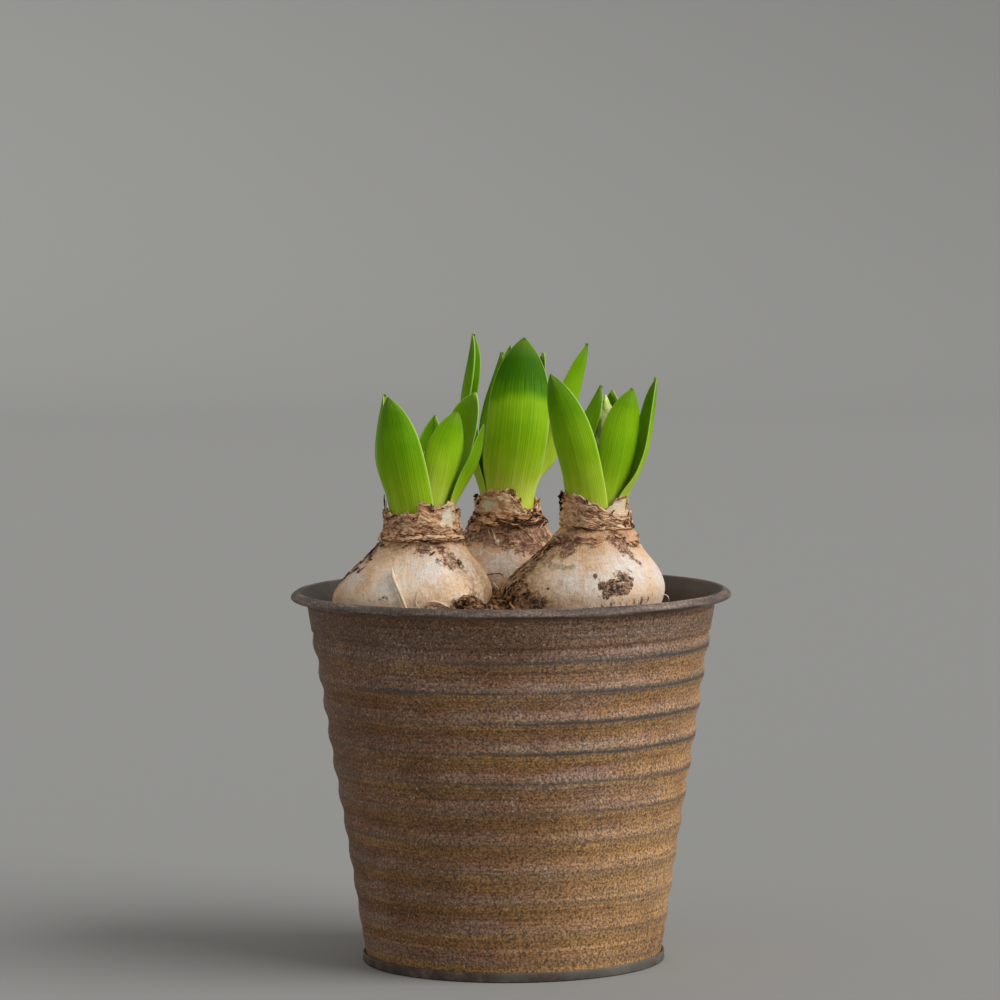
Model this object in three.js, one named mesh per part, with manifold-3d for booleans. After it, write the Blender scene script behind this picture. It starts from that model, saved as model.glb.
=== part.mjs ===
// Three sprouting hyacinth bulbs in a ribbed tin pot.
// Millimetres, +Z up. The origin is the centre of the pot's underside, on the surface it stands on.
// The front of the group is towards -Y: two bulbs stand in front, one behind.
import * as THREE from "three";
import { mergeVertices } from "three/addons/utils/BufferGeometryUtils.js";
import Module from "manifold-3d";

const wasm = await Module();
wasm.setup();

// Clear gap between pieces that touch on the real object.
const GAP = 0.3;

// Pot: a tapered tin wall with pressed ribs and a rolled lip, seamed to a pressed base.
const SHEET = 0.8;
const WALL_FOOT_RADIUS = 50.1;
const WALL_TAPER = 0.1585;
const RIM_RADIUS = 75;
const RIM_HEIGHT = 126.8;
const LIP_DROP = 2.9;
const LIP_FOOT_HEIGHT = 122.6;
const RIB_COUNT = 10;
const RIB_PITCH = 10.25;
const TOP_RIB_HEIGHT = 108.3;
const TOP_RIB_SWELL = 0.5;
const LOW_RIB_SWELL = 0.24;
const FOOT_RADIUS = 51.6;
const FOOT_HEIGHT = 3.2;
const SEAM_FLOOR = 1.3;
const BASE_RECESS = 1.2;
const POT_SIDES = 40;

// Soil: a mound, highest between the bulbs and lowest at the wall.
const SOIL_CROWN = 125;
const SOIL_EDGE_HEIGHT = 116.5;
const SOIL_SIDES = 32;

// Bulbs: where each one's widest level is, how wide it is, and how far its neck stands off that centre.
const NECK_RISE = 21;
const NECK_LENGTH = 4.5;
const NECK_WALL = 0.9;
const BULB_SIDES = 22;
const BULBS = {
  left: { at: [-33, -14, 125], radius: 26.9, neck: [-29.9, -14], neckRadius: 11.6 },
  middle: { at: [-2.2, 33, 126.5], radius: 25.6, neck: [-0.9, 33], neckRadius: 10.3 },
  right: { at: [24.3, -16, 126], radius: 27.6, neck: [28.7, -16], neckRadius: 10.9 },
};

// Half of a bulb's outline from its root plate up to the shoulder, as shares of its radius and as heights in
// millimetres from its widest level.
const BULB_OUTLINE = [
  [0, -23.5], [0.28, -23.5], [0.36, -21.5], [0.62, -18], [0.84, -12.5], [0.965, -6], [1, 0],
  [0.985, 3.2], [0.92, 6.6], [0.81, 10.5], [0.68, 14], [0.565, 17.6], [0.505, 20.4],
];

// Leaves, in millimetres from their own neck's centre line. Each has the ring that its foot stands in, its
// direction round the neck in degrees (0 to the right, 90 to the back), the middle and the tip of its back's
// centre line (x, y, and height above the table), the direction that its back faces, its width, the share of
// its length where it is widest, and half the angle of its trough.
const leaf = (ring, round, mid, tip, facing, width, widest, trough) => {
  return { ring, round, mid, tip, facing, width, widest, trough };
};
const LEAVES = {
  left: {
    front: leaf("outer", 242, [-8.3, -12.2, 172], [-11, -9.5, 193.8], 247, 20.2, 0.42, 50),
    behind_left: leaf("outer", 152, [-15.4, 4.6, 172], [-12.8, 2.5, 194.2], 165, 14, 0.55, 55),
    back: leaf("inner", 95, [1.4, 9.6, 169], [4.6, 9, 186.6], 95, 12, 0.45, 50),
    front_right: leaf("inner", 308, [8.6, -8.8, 171], [12.2, -8.6, 188.9], 300, 17, 0.52, 50),
    back_right: leaf("outer", 55, [12.8, 8.6, 171], [18.6, 9, 194.2], 48, 16, 0.68, 52),
    right: leaf("outer", 350, [19.2, -3.8, 172.5], [21.4, -4, 184], 335, 9.8, 0.5, 42),
  },
  middle: {
    front: leaf("outer", 272, [3.8, -13, 180], [6.2, -5.5, 211.2], 272, 24.4, 0.58, 50),
    left_inner: leaf("inner", 205, [-9.4, -2.6, 178], [-2, -1.4, 206.2], 200, 15, 0.55, 52),
    left: leaf("outer", 172, [-16.1, 1.6, 182], [-11.8, 2, 212.4], 169, 16.4, 0.7, 68),
    back_right: leaf("inner", 35, [11.4, 5.4, 180], [13.2, 5, 205.4], 35, 14.5, 0.6, 52),
    right: leaf("outer", 8, [18.7, 0.6, 178.9], [28.4, 2, 208.6], 312, 11.5, 0.5, 42),
    back: leaf("outer", 95, [-0.6, 12.8, 180], [1.4, 9.5, 207.8], 95, 15, 0.5, 50),
  },
  right: {
    front_left: leaf("outer", 250, [-7.4, -12.8, 176], [-15.1, -13, 201.4], 250, 16.2, 0.48, 46),
    left_inner: leaf("inner", 195, [-7.6, -2.4, 176], [1.8, 0, 197], 205, 15, 0.55, 52),
    front_right: leaf("inner", 308, [8.7, -9.4, 174], [12.5, -9, 196.2], 300, 17, 0.58, 50),
    right: leaf("outer", 350, [17.7, -1, 175.5], [21.1, -1, 199.4], 18, 14, 0.55, 56),
    back_inner: leaf("inner", 60, [6.4, 8.2, 174], [6.2, 6, 195], 60, 14, 0.55, 52),
    back: leaf("outer", 128, [-8, 10.4, 168], [-7, 10.6, 184], 125, 13, 0.45, 52),
  },
};
// How far inside the outside of the neck each ring of leaves has its back.
const RINGS = { outer: 1.25, inner: 3.6 };
const LEAF_THICKNESS = 1.9;
const MARGIN_THICKNESS = 0.7;
// The width of a blade at its foot and at its tip, as a share of its greatest.
const FOOT_WIDTH = 0.95;
const TIP_WIDTH = 0.09;
const BLADE_ACROSS = 4;
const BLADE_ALONG = 9;
// The height above a leaf's foot where it comes free of the neck.
const THROAT_RISE = 7;

const FINISH = {
  tin: new THREE.MeshStandardMaterial({ color: 0x6f5138, roughness: 0.7, metalness: 0.4 }),
  seam: new THREE.MeshStandardMaterial({ color: 0x4a4540, roughness: 0.6, metalness: 0.5 }),
  soil: new THREE.MeshStandardMaterial({ color: 0x2e1f14, roughness: 1, metalness: 0 }),
  bulb: new THREE.MeshStandardMaterial({ color: 0xcbb294, roughness: 0.6, metalness: 0 }),
  husk: new THREE.MeshStandardMaterial({ color: 0x8e6a4a, roughness: 0.85, metalness: 0 }),
  leaf: new THREE.MeshStandardMaterial({ color: 0x5c8f1d, roughness: 0.45, metalness: 0 }),
  bud: new THREE.MeshStandardMaterial({ color: 0x92a63c, roughness: 0.5, metalness: 0 }),
};

const radians = THREE.MathUtils.degToRad;
const smooth = (t) => t * t * (3 - 2 * t);

// A body of revolution about Z from [radius, height] pairs that run up the outside.
function turned(outline, sides) {
  const points = outline.map(([r, h]) => new THREE.Vector2(r, h));
  return new THREE.LatheGeometry(points, sides).rotateX(Math.PI / 2);
}

// A geometry with only positions, its shared vertices joined and each one moved by a rule.
function shaped(geometry, rule) {
  geometry.deleteAttribute("normal");
  geometry.deleteAttribute("uv");
  const joined = mergeVertices(geometry, 1e-4);
  const place = joined.getAttribute("position");
  const point = new THREE.Vector3();
  for (let i = 0; i < place.count; i++) {
    point.fromBufferAttribute(place, i);
    rule(point);
    place.setXYZ(i, point.x, point.y, point.z);
  }
  return joined;
}

function solid(geometry) {
  return new wasm.Manifold(
    new wasm.Mesh({
      numProp: 3,
      vertProperties: geometry.getAttribute("position").array,
      triVerts: new Uint32Array(geometry.index.array),
    }),
  );
}

function geometryOf(manifold) {
  const mesh = manifold.getMesh();
  return new THREE.BufferGeometry()
    .setAttribute("position", new THREE.BufferAttribute(mesh.vertProperties, 3))
    .setIndex(new THREE.BufferAttribute(mesh.triVerts, 1));
}

const hyacinths = new THREE.Group();

function add(name, geometry, finish) {
  const mesh = new THREE.Mesh(geometry, finish);
  mesh.name = name;
  hyacinths.add(mesh);
}

// Pot

function wallRadius(height) {
  const plain = WALL_FOOT_RADIUS + WALL_TAPER * height;
  const ribsFoot = TOP_RIB_HEIGHT - (RIB_COUNT - 0.5) * RIB_PITCH;
  const ribsHead = TOP_RIB_HEIGHT + RIB_PITCH / 2;
  if (height < ribsFoot || height > ribsHead) return plain;
  const up = (height - ribsFoot) / (ribsHead - ribsFoot);
  const swell = THREE.MathUtils.lerp(LOW_RIB_SWELL, TOP_RIB_SWELL, up);
  return plain + swell * Math.cos((2 * Math.PI * (height - TOP_RIB_HEIGHT)) / RIB_PITCH);
}

// The wall's top edge is rolled outwards and down: its outer edge hangs lower than its crest.
function lipOutline() {
  const edge = RIM_HEIGHT - LIP_DROP;
  return [
    [RIM_RADIUS - 3.9, edge - 0.5], [RIM_RADIUS - 0.9, edge], [RIM_RADIUS, edge + 0.8],
    [RIM_RADIUS - 0.5, edge + 1.8], [RIM_RADIUS - 1.4, RIM_HEIGHT - 0.4], [RIM_RADIUS - 2.3, RIM_HEIGHT],
    [RIM_RADIUS - 3.2, RIM_HEIGHT - 0.4], [RIM_RADIUS - 4.4, RIM_HEIGHT - 2.2],
  ];
}

function potWall() {
  const foot = SEAM_FLOOR + GAP;
  const outline = [[wallRadius(foot), foot], [wallRadius(FOOT_HEIGHT + 4), FOOT_HEIGHT + 4]];
  for (let rib = RIB_COUNT - 1; rib >= 0; rib--) {
    const crest = TOP_RIB_HEIGHT - rib * RIB_PITCH;
    for (const step of [-0.5, 0]) {
      const height = crest + step * RIB_PITCH;
      outline.push([wallRadius(height), height]);
    }
  }
  const ribsHead = TOP_RIB_HEIGHT + RIB_PITCH / 2 + 0.1;
  outline.push([wallRadius(ribsHead), ribsHead], [wallRadius(LIP_FOOT_HEIGHT), LIP_FOOT_HEIGHT]);
  outline.push(...lipOutline());
  outline.push([wallRadius(LIP_FOOT_HEIGHT - 1) - SHEET, LIP_FOOT_HEIGHT - 1]);
  outline.push([WALL_FOOT_RADIUS + WALL_TAPER * foot - SHEET, foot]);
  outline.push(outline[0]);
  return shaped(turned(outline, POT_SIDES), () => {});
}

// The base's edge is folded into a channel that the wall's foot stands in.
function potBase() {
  const wallFoot = wallRadius(SEAM_FLOOR + GAP);
  const channelOut = wallRadius(FOOT_HEIGHT) + GAP;
  const channelIn = wallFoot - SHEET - GAP;
  return shaped(
    turned(
      [
        [0, BASE_RECESS], [channelIn - 1.8, BASE_RECESS], [channelIn - 1, 0], [FOOT_RADIUS - 0.5, 0],
        [FOOT_RADIUS, 0.5], [FOOT_RADIUS, FOOT_HEIGHT - 0.4], [channelOut + 0.5, FOOT_HEIGHT],
        [channelOut, FOOT_HEIGHT - 0.1], [channelOut, SEAM_FLOOR], [channelIn, SEAM_FLOOR],
        [channelIn, FOOT_HEIGHT - 0.6], [channelIn - SHEET, FOOT_HEIGHT - 0.6],
        [channelIn - SHEET, BASE_RECESS + SHEET], [0, BASE_RECESS + SHEET],
      ],
      POT_SIDES,
    ),
    () => {},
  );
}

// Bulbs

// How far the axis of a bulb has moved towards its neck at a height.
function bulbDrift(bulb, height) {
  const share = (height - bulb.at[2]) / NECK_RISE;
  return [(bulb.neck[0] - bulb.at[0]) * share, (bulb.neck[1] - bulb.at[1]) * share];
}

// The scales under the skin make broad, shallow ridges from root plate to neck.
function bulbSurface(bulb, grow = 0) {
  return (point) => {
    const round = Math.atan2(point.y, point.x);
    const level = point.z / NECK_RISE;
    const fade = Math.max(0, 1 - level * level);
    const folds = 0.016 * Math.sin(3 * round + bulb.at[0]) + 0.01 * Math.sin(5 * round + 2 * level);
    const ridge = 1 + fade * folds;
    const radius = Math.hypot(point.x, point.y);
    const scale = radius > 0 ? (radius * ridge + grow) / radius : 1;
    const [driftX, driftY] = bulbDrift(bulb, bulb.at[2] + point.z);
    point.set(
      point.x * scale + bulb.at[0] + driftX,
      point.y * scale + bulb.at[1] + driftY,
      point.z + bulb.at[2],
    );
  };
}

function bulbBody(bulb) {
  const outline = BULB_OUTLINE.map(([share, height]) => [share * bulb.radius, height]);
  const socket = bulb.neckRadius - NECK_WALL;
  outline.push([bulb.neckRadius, NECK_RISE], [bulb.neckRadius, NECK_RISE + NECK_LENGTH]);
  outline.push([socket, NECK_RISE + NECK_LENGTH], [socket, NECK_RISE + 1], [0, NECK_RISE + 1]);
  return shaped(turned(outline, BULB_SIDES), (point) => {
    const neckShare = THREE.MathUtils.clamp(point.z / NECK_RISE, 0, 1);
    bulbSurface(bulb)(point);
    if (neckShare < 1) return;
    // The neck stands upright on the shoulder.
    const [driftX, driftY] = bulbDrift(bulb, point.z);
    point.x += bulb.neck[0] - bulb.at[0] - driftX;
    point.y += bulb.neck[1] - bulb.at[1] - driftY;
  });
}

// The part of the bulb that is in the soil, a little larger: the hollow it has pressed there.
function bulbHollow(bulb) {
  const outline = BULB_OUTLINE.slice(0, 10).map(([share, height]) => [share * bulb.radius, height]);
  outline[0][1] -= GAP;
  outline[1][1] -= GAP;
  outline.push([0, BULB_OUTLINE[9][1]]);
  return shaped(turned(outline, BULB_SIDES), bulbSurface(bulb, GAP));
}

// Dry husk: the withered tips of the outer scales, a wrinkled ring round the neck with a torn edge. The edge
// rises in one direction and has a gap in another.
const HUSKS = {
  left: { length: 10, seed: 1.3, high: 300, rise: 2.6, low: 235, drop: 1.8 },
  middle: { length: 8.7, seed: 4.1, high: 240, rise: 2.4, low: 318, drop: 4.2 },
  right: { length: 12.2, seed: 2.2, high: 215, rise: 2.4, low: 312, drop: 2.4 },
};
const HUSK_SIDES = 26;

function husk(bulb, form) {
  const foot = NECK_RISE + GAP;
  const inner = bulb.neckRadius + GAP;
  const outline = [
    [inner, foot], [inner + 1.8, foot], [inner + 1.5, foot + 1.2], [inner + 0.85, foot + 2.6],
    [inner + 1.1, foot + 4.2], [inner + 0.75, foot + 5.8], [inner + 1, foot + 7.2],
    [inner + 0.7, foot + form.length], [inner, foot + form.length], [inner, foot],
  ];
  return shaped(turned(outline, HUSK_SIDES), (point) => {
    const round = Math.atan2(point.y, point.x);
    const up = (point.z - foot) / form.length;
    const radius = Math.hypot(point.x, point.y);
    const outside = radius > inner + 0.1 ? 1 : 0;
    const flare = 0.9 * up * up;
    const crumple = outside * 0.15 * Math.sin(7 * round + 9 * up + form.seed);
    const torn = 0.5 * Math.sin(5 * round + form.seed) + 0.4 * Math.sin(11 * round + 2 * form.seed);
    const dip = -form.drop * Math.max(0, Math.cos(round - radians(form.low))) ** 8;
    const peak = form.rise * Math.max(0, Math.cos(round - radians(form.high))) ** 2;
    point.multiplyScalar((radius + crumple + flare) / radius);
    point.set(
      point.x + bulb.neck[0],
      point.y + bulb.neck[1],
      foot + up * (form.length + (torn + dip + peak) * up) + bulb.at[2],
    );
  });
}

// Leaves

// The width of a blade as a share of its greatest, at a share of its length.
function bladeWidth(along, widest) {
  if (along < widest) return THREE.MathUtils.lerp(FOOT_WIDTH, 1, smooth(along / widest));
  const past = (along - widest) / (1 - widest);
  return Math.max(TIP_WIDTH, (1 - past ** 2.5) ** 0.8);
}

// A trough-shaped blade. Its box is one unit long in Z, two wide in X, and its +Y side becomes the back.
function blade(leaf, bulb, grow = 0) {
  const ring = bulb.neckRadius - RINGS[leaf.ring];
  const start = bulb.at[2] + NECK_RISE + 1 + GAP;
  const foot = new THREE.Vector3(
    ring * Math.cos(radians(leaf.round)),
    ring * Math.sin(radians(leaf.round)),
    start,
  );
  const throat = new THREE.Vector3(foot.x * 1.03, foot.y * 1.03, start + THROAT_RISE);
  const spine = new THREE.CatmullRomCurve3([
    foot, throat, new THREE.Vector3(...leaf.mid), new THREE.Vector3(...leaf.tip),
  ]);
  const box = new THREE.BoxGeometry(2, 1, 1, BLADE_ACROSS, 1, BLADE_ALONG);
  const length = spine.getLength();
  return shaped(box, (point) => {
    const across = point.x;
    const along = point.z + 0.5;
    // None of a leaf's own turn or trough below the neck's mouth, and all of it a little further up.
    const free = smooth(THREE.MathUtils.clamp((along * length - THROAT_RISE) / 14, 0, 1));
    const onSpine = spine.getPointAt(along);
    const up = spine.getTangentAt(along);
    const turn = THREE.MathUtils.lerp(leaf.round, nearest(leaf.facing, leaf.round), free);
    const back = new THREE.Vector3(Math.cos(radians(turn)), Math.sin(radians(turn)), 0);
    back.addScaledVector(up, -back.dot(up)).normalize();
    const side = back.clone().cross(up);
    const width = leaf.width * bladeWidth(along, leaf.widest) + 2 * grow;
    // At the foot the trough follows the ring, and further up it has its own angle.
    const half = THREE.MathUtils.lerp(width / 2 / ring, radians(leaf.trough), free);
    const angle = across * half;
    const bow = width / 2 / half;
    const plump = 1 - across * across;
    const taper = 1 - 0.55 * along;
    const full = MARGIN_THICKNESS + (LEAF_THICKNESS - MARGIN_THICKNESS) * plump * taper;
    const thick = point.y > 0 ? -grow : full + grow;
    point
      .copy(onSpine)
      .addScaledVector(side, (bow - thick) * Math.sin(angle))
      .addScaledVector(back, (bow - thick) * Math.cos(angle) - bow);
    point.x += bulb.neck[0];
    point.y += bulb.neck[1];
  });
}

// The leaves of a bulb in the order given, each cut back where it would run into one before it.
function leavesOf(place, bulb) {
  const before = [];
  for (const [side, leaf] of Object.entries(LEAVES[place])) {
    let body = solid(blade(leaf, bulb));
    for (const grown of before) body = body.subtract(grown);
    const largest = body.decompose().sort((a, b) => b.volume() - a.volume())[0];
    before.push(solid(blade(leaf, bulb, GAP)));
    add(`leaf_${place}_${side}`, geometryOf(largest), FINISH.leaf);
  }
}

// The angle that is a whole number of turns from one and nearest to another.
function nearest(angle, to) {
  return angle + 360 * Math.round((to - angle) / 360);
}

// Flower bud: florets packed in a spiral on a short stalk. Each bud has the height of its top above the
// table, its number of florets, its greatest radius, and how far its top leans.
const BUDS = {
  left: { top: 176, florets: 9, radius: 4.2, lean: [1, 0] },
  middle: { top: 190, florets: 9, radius: 4.2, lean: [1, 0] },
  right: { top: 195, florets: 24, radius: 4.7, lean: [4.6, 0] },
};
const STALK_RADIUS = 3.2;
const BUD_FOOT = 8;
const GOLDEN_TURN = 137.508;

function bud(bulb, form) {
  const foot = bulb.at[2] + NECK_RISE + 1 + GAP;
  const length = form.top - foot;
  const lean = (height) => {
    const share = Math.max(0, (height - foot) / length) ** 1.5;
    return [bulb.neck[0] + form.lean[0] * share, bulb.neck[1] + form.lean[1] * share];
  };
  const girth = (share) => form.radius * Math.sin(Math.PI * (0.16 + 0.8 * share)) ** 0.7;
  const outline = [[0, 0], [STALK_RADIUS, 0], [STALK_RADIUS, BUD_FOOT]];
  for (const share of [0.12, 0.35, 0.6, 0.82]) {
    outline.push([girth(share) - 0.5, BUD_FOOT + share * (length - BUD_FOOT)]);
  }
  outline.push([0, length - 1.2]);
  const core = shaped(turned(outline, 10), (point) => {
    const [x, y] = lean(foot + point.z);
    point.set(point.x + x, point.y + y, point.z + foot);
  });
  let head = solid(core);
  for (let i = 0; i < form.florets; i++) {
    const share = (i + 0.5) / form.florets;
    const round = radians(i * GOLDEN_TURN);
    const height = foot + BUD_FOOT + share * (length - BUD_FOOT - 2.2);
    const [x, y] = lean(height);
    const reach = girth(share) * 0.86;
    const floret = shaped(new THREE.OctahedronGeometry(1, 1), (point) => {
      const outward = 0.25 + 0.2 * share;
      point.set(point.x * 1.45, point.y * 1.45, point.z * 2.7);
      point.x += reach * Math.cos(round) - point.z * outward * Math.cos(round) + x;
      point.y += reach * Math.sin(round) - point.z * outward * Math.sin(round) + y;
      point.z += height;
    });
    head = head.add(solid(floret));
  }
  return geometryOf(head);
}

// Soil

function soilHeight(x, y) {
  const radius = Math.hypot(x, y);
  const out = Math.min(1, radius / 66);
  const rolling = 0.5 * Math.sin(0.31 * x + 0.2 * y) + 0.4 * Math.sin(0.27 * y - 0.36 * x + 1);
  const lumps = rolling + 0.3 * Math.cos(0.55 * x);
  return THREE.MathUtils.lerp(SOIL_CROWN, SOIL_EDGE_HEIGHT, out ** 2.2) + lumps * 0.9;
}

function soil() {
  const floor = BASE_RECESS + SHEET + GAP;
  const innerRadius = (height) => WALL_FOOT_RADIUS + WALL_TAPER * height - SHEET - LOW_RIB_SWELL - GAP;
  const channelClear = wallRadius(SEAM_FLOOR + GAP) - 2 * (SHEET + GAP) - GAP;
  const outline = [
    [0, floor], [channelClear, floor], [channelClear, FOOT_HEIGHT],
    [innerRadius(FOOT_HEIGHT + 1), FOOT_HEIGHT + 1],
  ];
  const edge = innerRadius(SOIL_EDGE_HEIGHT) - 0.3;
  for (const share of [1, 0.9, 0.79, 0.67, 0.54, 0.4, 0.22, 0]) {
    outline.push([edge * share, SOIL_EDGE_HEIGHT]);
  }
  const mound = shaped(turned(outline, SOIL_SIDES), (point) => {
    if (point.z > SOIL_EDGE_HEIGHT - 1) point.z = soilHeight(point.x, point.y);
  });
  let body = solid(mound);
  for (const bulb of Object.values(BULBS)) body = body.subtract(solid(bulbHollow(bulb)));
  return geometryOf(body);
}

add("pot_wall", potWall(), FINISH.tin);
add("pot_base", potBase(), FINISH.seam);
add("soil", soil(), FINISH.soil);
for (const [place, bulb] of Object.entries(BULBS)) {
  add(`bulb_${place}`, bulbBody(bulb), FINISH.bulb);
  add(`husk_${place}`, husk(bulb, HUSKS[place]), FINISH.husk);
  add(`bud_${place}`, bud(bulb, BUDS[place]), FINISH.bud);
  leavesOf(place, bulb);
}

export default hyacinths;
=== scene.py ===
import math
import random
from functools import partial

import bmesh
import bpy
from mathutils import Matrix, Vector, noise


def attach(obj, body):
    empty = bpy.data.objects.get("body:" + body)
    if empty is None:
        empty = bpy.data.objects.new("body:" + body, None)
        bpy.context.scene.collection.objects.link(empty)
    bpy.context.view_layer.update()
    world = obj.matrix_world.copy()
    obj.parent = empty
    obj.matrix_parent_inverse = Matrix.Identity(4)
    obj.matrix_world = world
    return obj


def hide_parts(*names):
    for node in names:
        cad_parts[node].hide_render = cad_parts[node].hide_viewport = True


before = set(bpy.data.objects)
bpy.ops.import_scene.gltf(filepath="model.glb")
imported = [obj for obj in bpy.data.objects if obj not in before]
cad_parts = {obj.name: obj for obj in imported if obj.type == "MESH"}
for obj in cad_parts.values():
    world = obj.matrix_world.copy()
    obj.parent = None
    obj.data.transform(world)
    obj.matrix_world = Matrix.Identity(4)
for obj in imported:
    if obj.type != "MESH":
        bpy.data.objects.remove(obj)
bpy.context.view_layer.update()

# Pot base
# A disc pressed from tin sheet, stood on the flat ring round its edge. The edge is folded up round the foot
# of the wall and crimped on it, which leaves a dark band a little wider than the wall.

# Sizes are in millimetres, and each piece is scaled to metres when it is done.
MM = 0.001
GAP = 0.3
SHEET = 0.8
SEAM_FLOOR = 1.3
FOOT_RADIUS = 51.6
FOOT_HEIGHT = 3.2
BASE_RECESS = 1.2
POT_SIDES = 160

WALL_FOOT_RADIUS = 50.1
WALL_TAPER = 0.1585
RIB_COUNT = 10
RIB_PITCH = 10.25
TOP_RIB_HEIGHT = 108.3
TOP_RIB_SWELL = 0.5
LOW_RIB_SWELL = 0.24


def blend(a, b, share):
    return a + (b - a) * share


def clamp(value, low=0.0, high=1.0):
    return max(low, min(high, value))


def smooth(value):
    value = clamp(value)
    return value * value * (3 - 2 * value)


def wall_radius(height):
    """The wall's outer radius at a height, with a swell at each rib."""
    plain = WALL_FOOT_RADIUS + WALL_TAPER * height
    ribs_foot = TOP_RIB_HEIGHT - (RIB_COUNT - 0.5) * RIB_PITCH
    ribs_head = TOP_RIB_HEIGHT + RIB_PITCH / 2
    if not ribs_foot < height < ribs_head:
        return plain
    swell = blend(LOW_RIB_SWELL, TOP_RIB_SWELL, (height - ribs_foot) / (ribs_head - ribs_foot))
    return plain + swell * math.cos(math.tau * (height - TOP_RIB_HEIGHT) / RIB_PITCH)


def turned(outline, sides):
    """A body of revolution about Z from (radius, height) pairs that run up the outside."""
    bm = bmesh.new()
    verts = [bm.verts.new((radius, 0, height)) for radius, height in outline]
    edges = [bm.edges.new(pair) for pair in zip(verts, verts[1:])]
    bmesh.ops.spin(bm, geom=verts + edges, axis=(0, 0, 1), cent=(0, 0, 0), steps=sides, angle=math.tau,
                   use_merge=True)
    bmesh.ops.remove_doubles(bm, verts=bm.verts, dist=1e-4)
    bmesh.ops.recalc_face_normals(bm, faces=bm.faces)
    return bm


def colour(text):
    """An sRGB hex colour as linear RGBA."""
    parts = [int(text[i:i + 2], 16) / 255 for i in (1, 3, 5)]
    return (*[c / 12.92 if c <= 0.04045 else ((c + 0.055) / 1.055) ** 2.4 for c in parts], 1)


def add_node(tree, kind, *inputs, out=None, stops=(), **settings):
    """Adds a shader node. Its inputs are values or other nodes' outputs, in the order in which the node shows
    them, and stops fill a colour ramp. The answer is the output that out names, or else the first."""
    made = tree.nodes.new("ShaderNode" + kind)
    for name, value in settings.items():
        setattr(made, name, value)
    shown = [socket for socket in made.inputs if socket.enabled]
    for socket, value in zip(shown, inputs):
        if isinstance(value, bpy.types.NodeSocket):
            tree.links.new(value, socket)
        elif value is not None:
            socket.default_value = value
    for i, (place, shade) in enumerate(stops):
        ramp = made.color_ramp.elements
        stop = ramp[i] if i < 2 else ramp.new(place)
        stop.position = place
        stop.color = colour(shade) if isinstance(shade, str) else (shade, shade, shade, 1)
    return made.outputs[out] if out else next(socket for socket in made.outputs if socket.enabled)


def new_material(name, values):
    """A material with these values on its shader, a function that adds nodes to it, and the place on the object
    in metres."""
    made = bpy.data.materials.new(name)
    made.use_nodes = True
    for socket, value in values.items():
        made.node_tree.nodes["Principled BSDF"].inputs[socket].default_value = value
    add = partial(add_node, made.node_tree)
    return made, add, add("TexCoord", out="Object")


# How one colour is laid on another.
OVER = dict(data_type="RGBA")
OVERLAY = dict(data_type="RGBA", blend_type="OVERLAY")
MULTIPLY = dict(data_type="RGBA", blend_type="MULTIPLY")


def washed(add, under, wash, share, value, low, high, slopes=(), layer=OVER):
    """Lays a wash on a colour, from none where a value is low to its share where it is high. Each slope adds
    another value to it, times a number."""
    for other, slope in slopes:
        value = add("Math", other, slope, value, operation="MULTIPLY_ADD")
    return add("Mix", add("MapRange", value, low, high, 0.0, share), under, wash, **layer)


def surfaced(made, shade, height, depth_mm, roughness=None):
    """Gives a material its colour, and relief from a height, where 1 stands depth_mm above 0."""
    tree = made.node_tree
    shader = tree.nodes["Principled BSDF"].inputs
    tree.links.new(shade, shader["Base Color"])
    tree.links.new(add_node(tree, "Bump", 1.0, depth_mm * MM, None, height), shader["Normal"])
    if roughness:
        tree.links.new(roughness, shader["Roughness"])
    return made


def new_object(name, bm, finish, sharp=None):
    """Turns a bmesh in millimetres into an object in metres, with flat corners above an angle."""
    bmesh.ops.scale(bm, vec=(MM, MM, MM), verts=bm.verts)
    mesh = bpy.data.meshes.new(name)
    bm.to_mesh(mesh)
    bm.free()
    mesh.shade_smooth()
    if sharp:
        mesh.set_sharp_from_angle(angle=math.radians(sharp))
    mesh.materials.append(finish)
    made = bpy.data.objects.new(name, mesh)
    bpy.context.scene.collection.objects.link(made)
    return made


def add_piece(name, bm, finish, slot, *nodes, sharp=None):
    """Adds a piece of the object, in place of the nodes that it shows."""
    piece = new_object(name, bm, finish, sharp)
    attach(piece, "root")
    if nodes:
        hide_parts(*nodes)


def seam_material():
    """Oxidised tin sheet, dark grey with a trace of verdigris, rubbed brown here and there where it stands."""
    made, add, place = new_material("oxidised_tin_seam", {"Roughness": 0.66, "Metallic": 0.2})
    # Rub marks are about 6 mm long.
    rubs = add("TexNoise", place, 160, 8, 0.7)
    shade = add("ValToRGB", rubs, stops=[(0.3, "#352c27"), (0.7, "#8c7868"), (0.5, "#55473e"),
                                         (0.6, "#69594d")])
    # Verdigris lies in patches about 15 mm long, mostly on the side that stood wettest.
    damp = add("TexNoise", place, 65, 5)
    east = add("SeparateXYZ", place, out="X")
    shade = washed(add, shade, colour("#7c7f77"), 0.32, damp, 0.5, 0.7, [(east, 3.0)])
    return surfaced(made, shade, rubs, 0.25)


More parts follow.
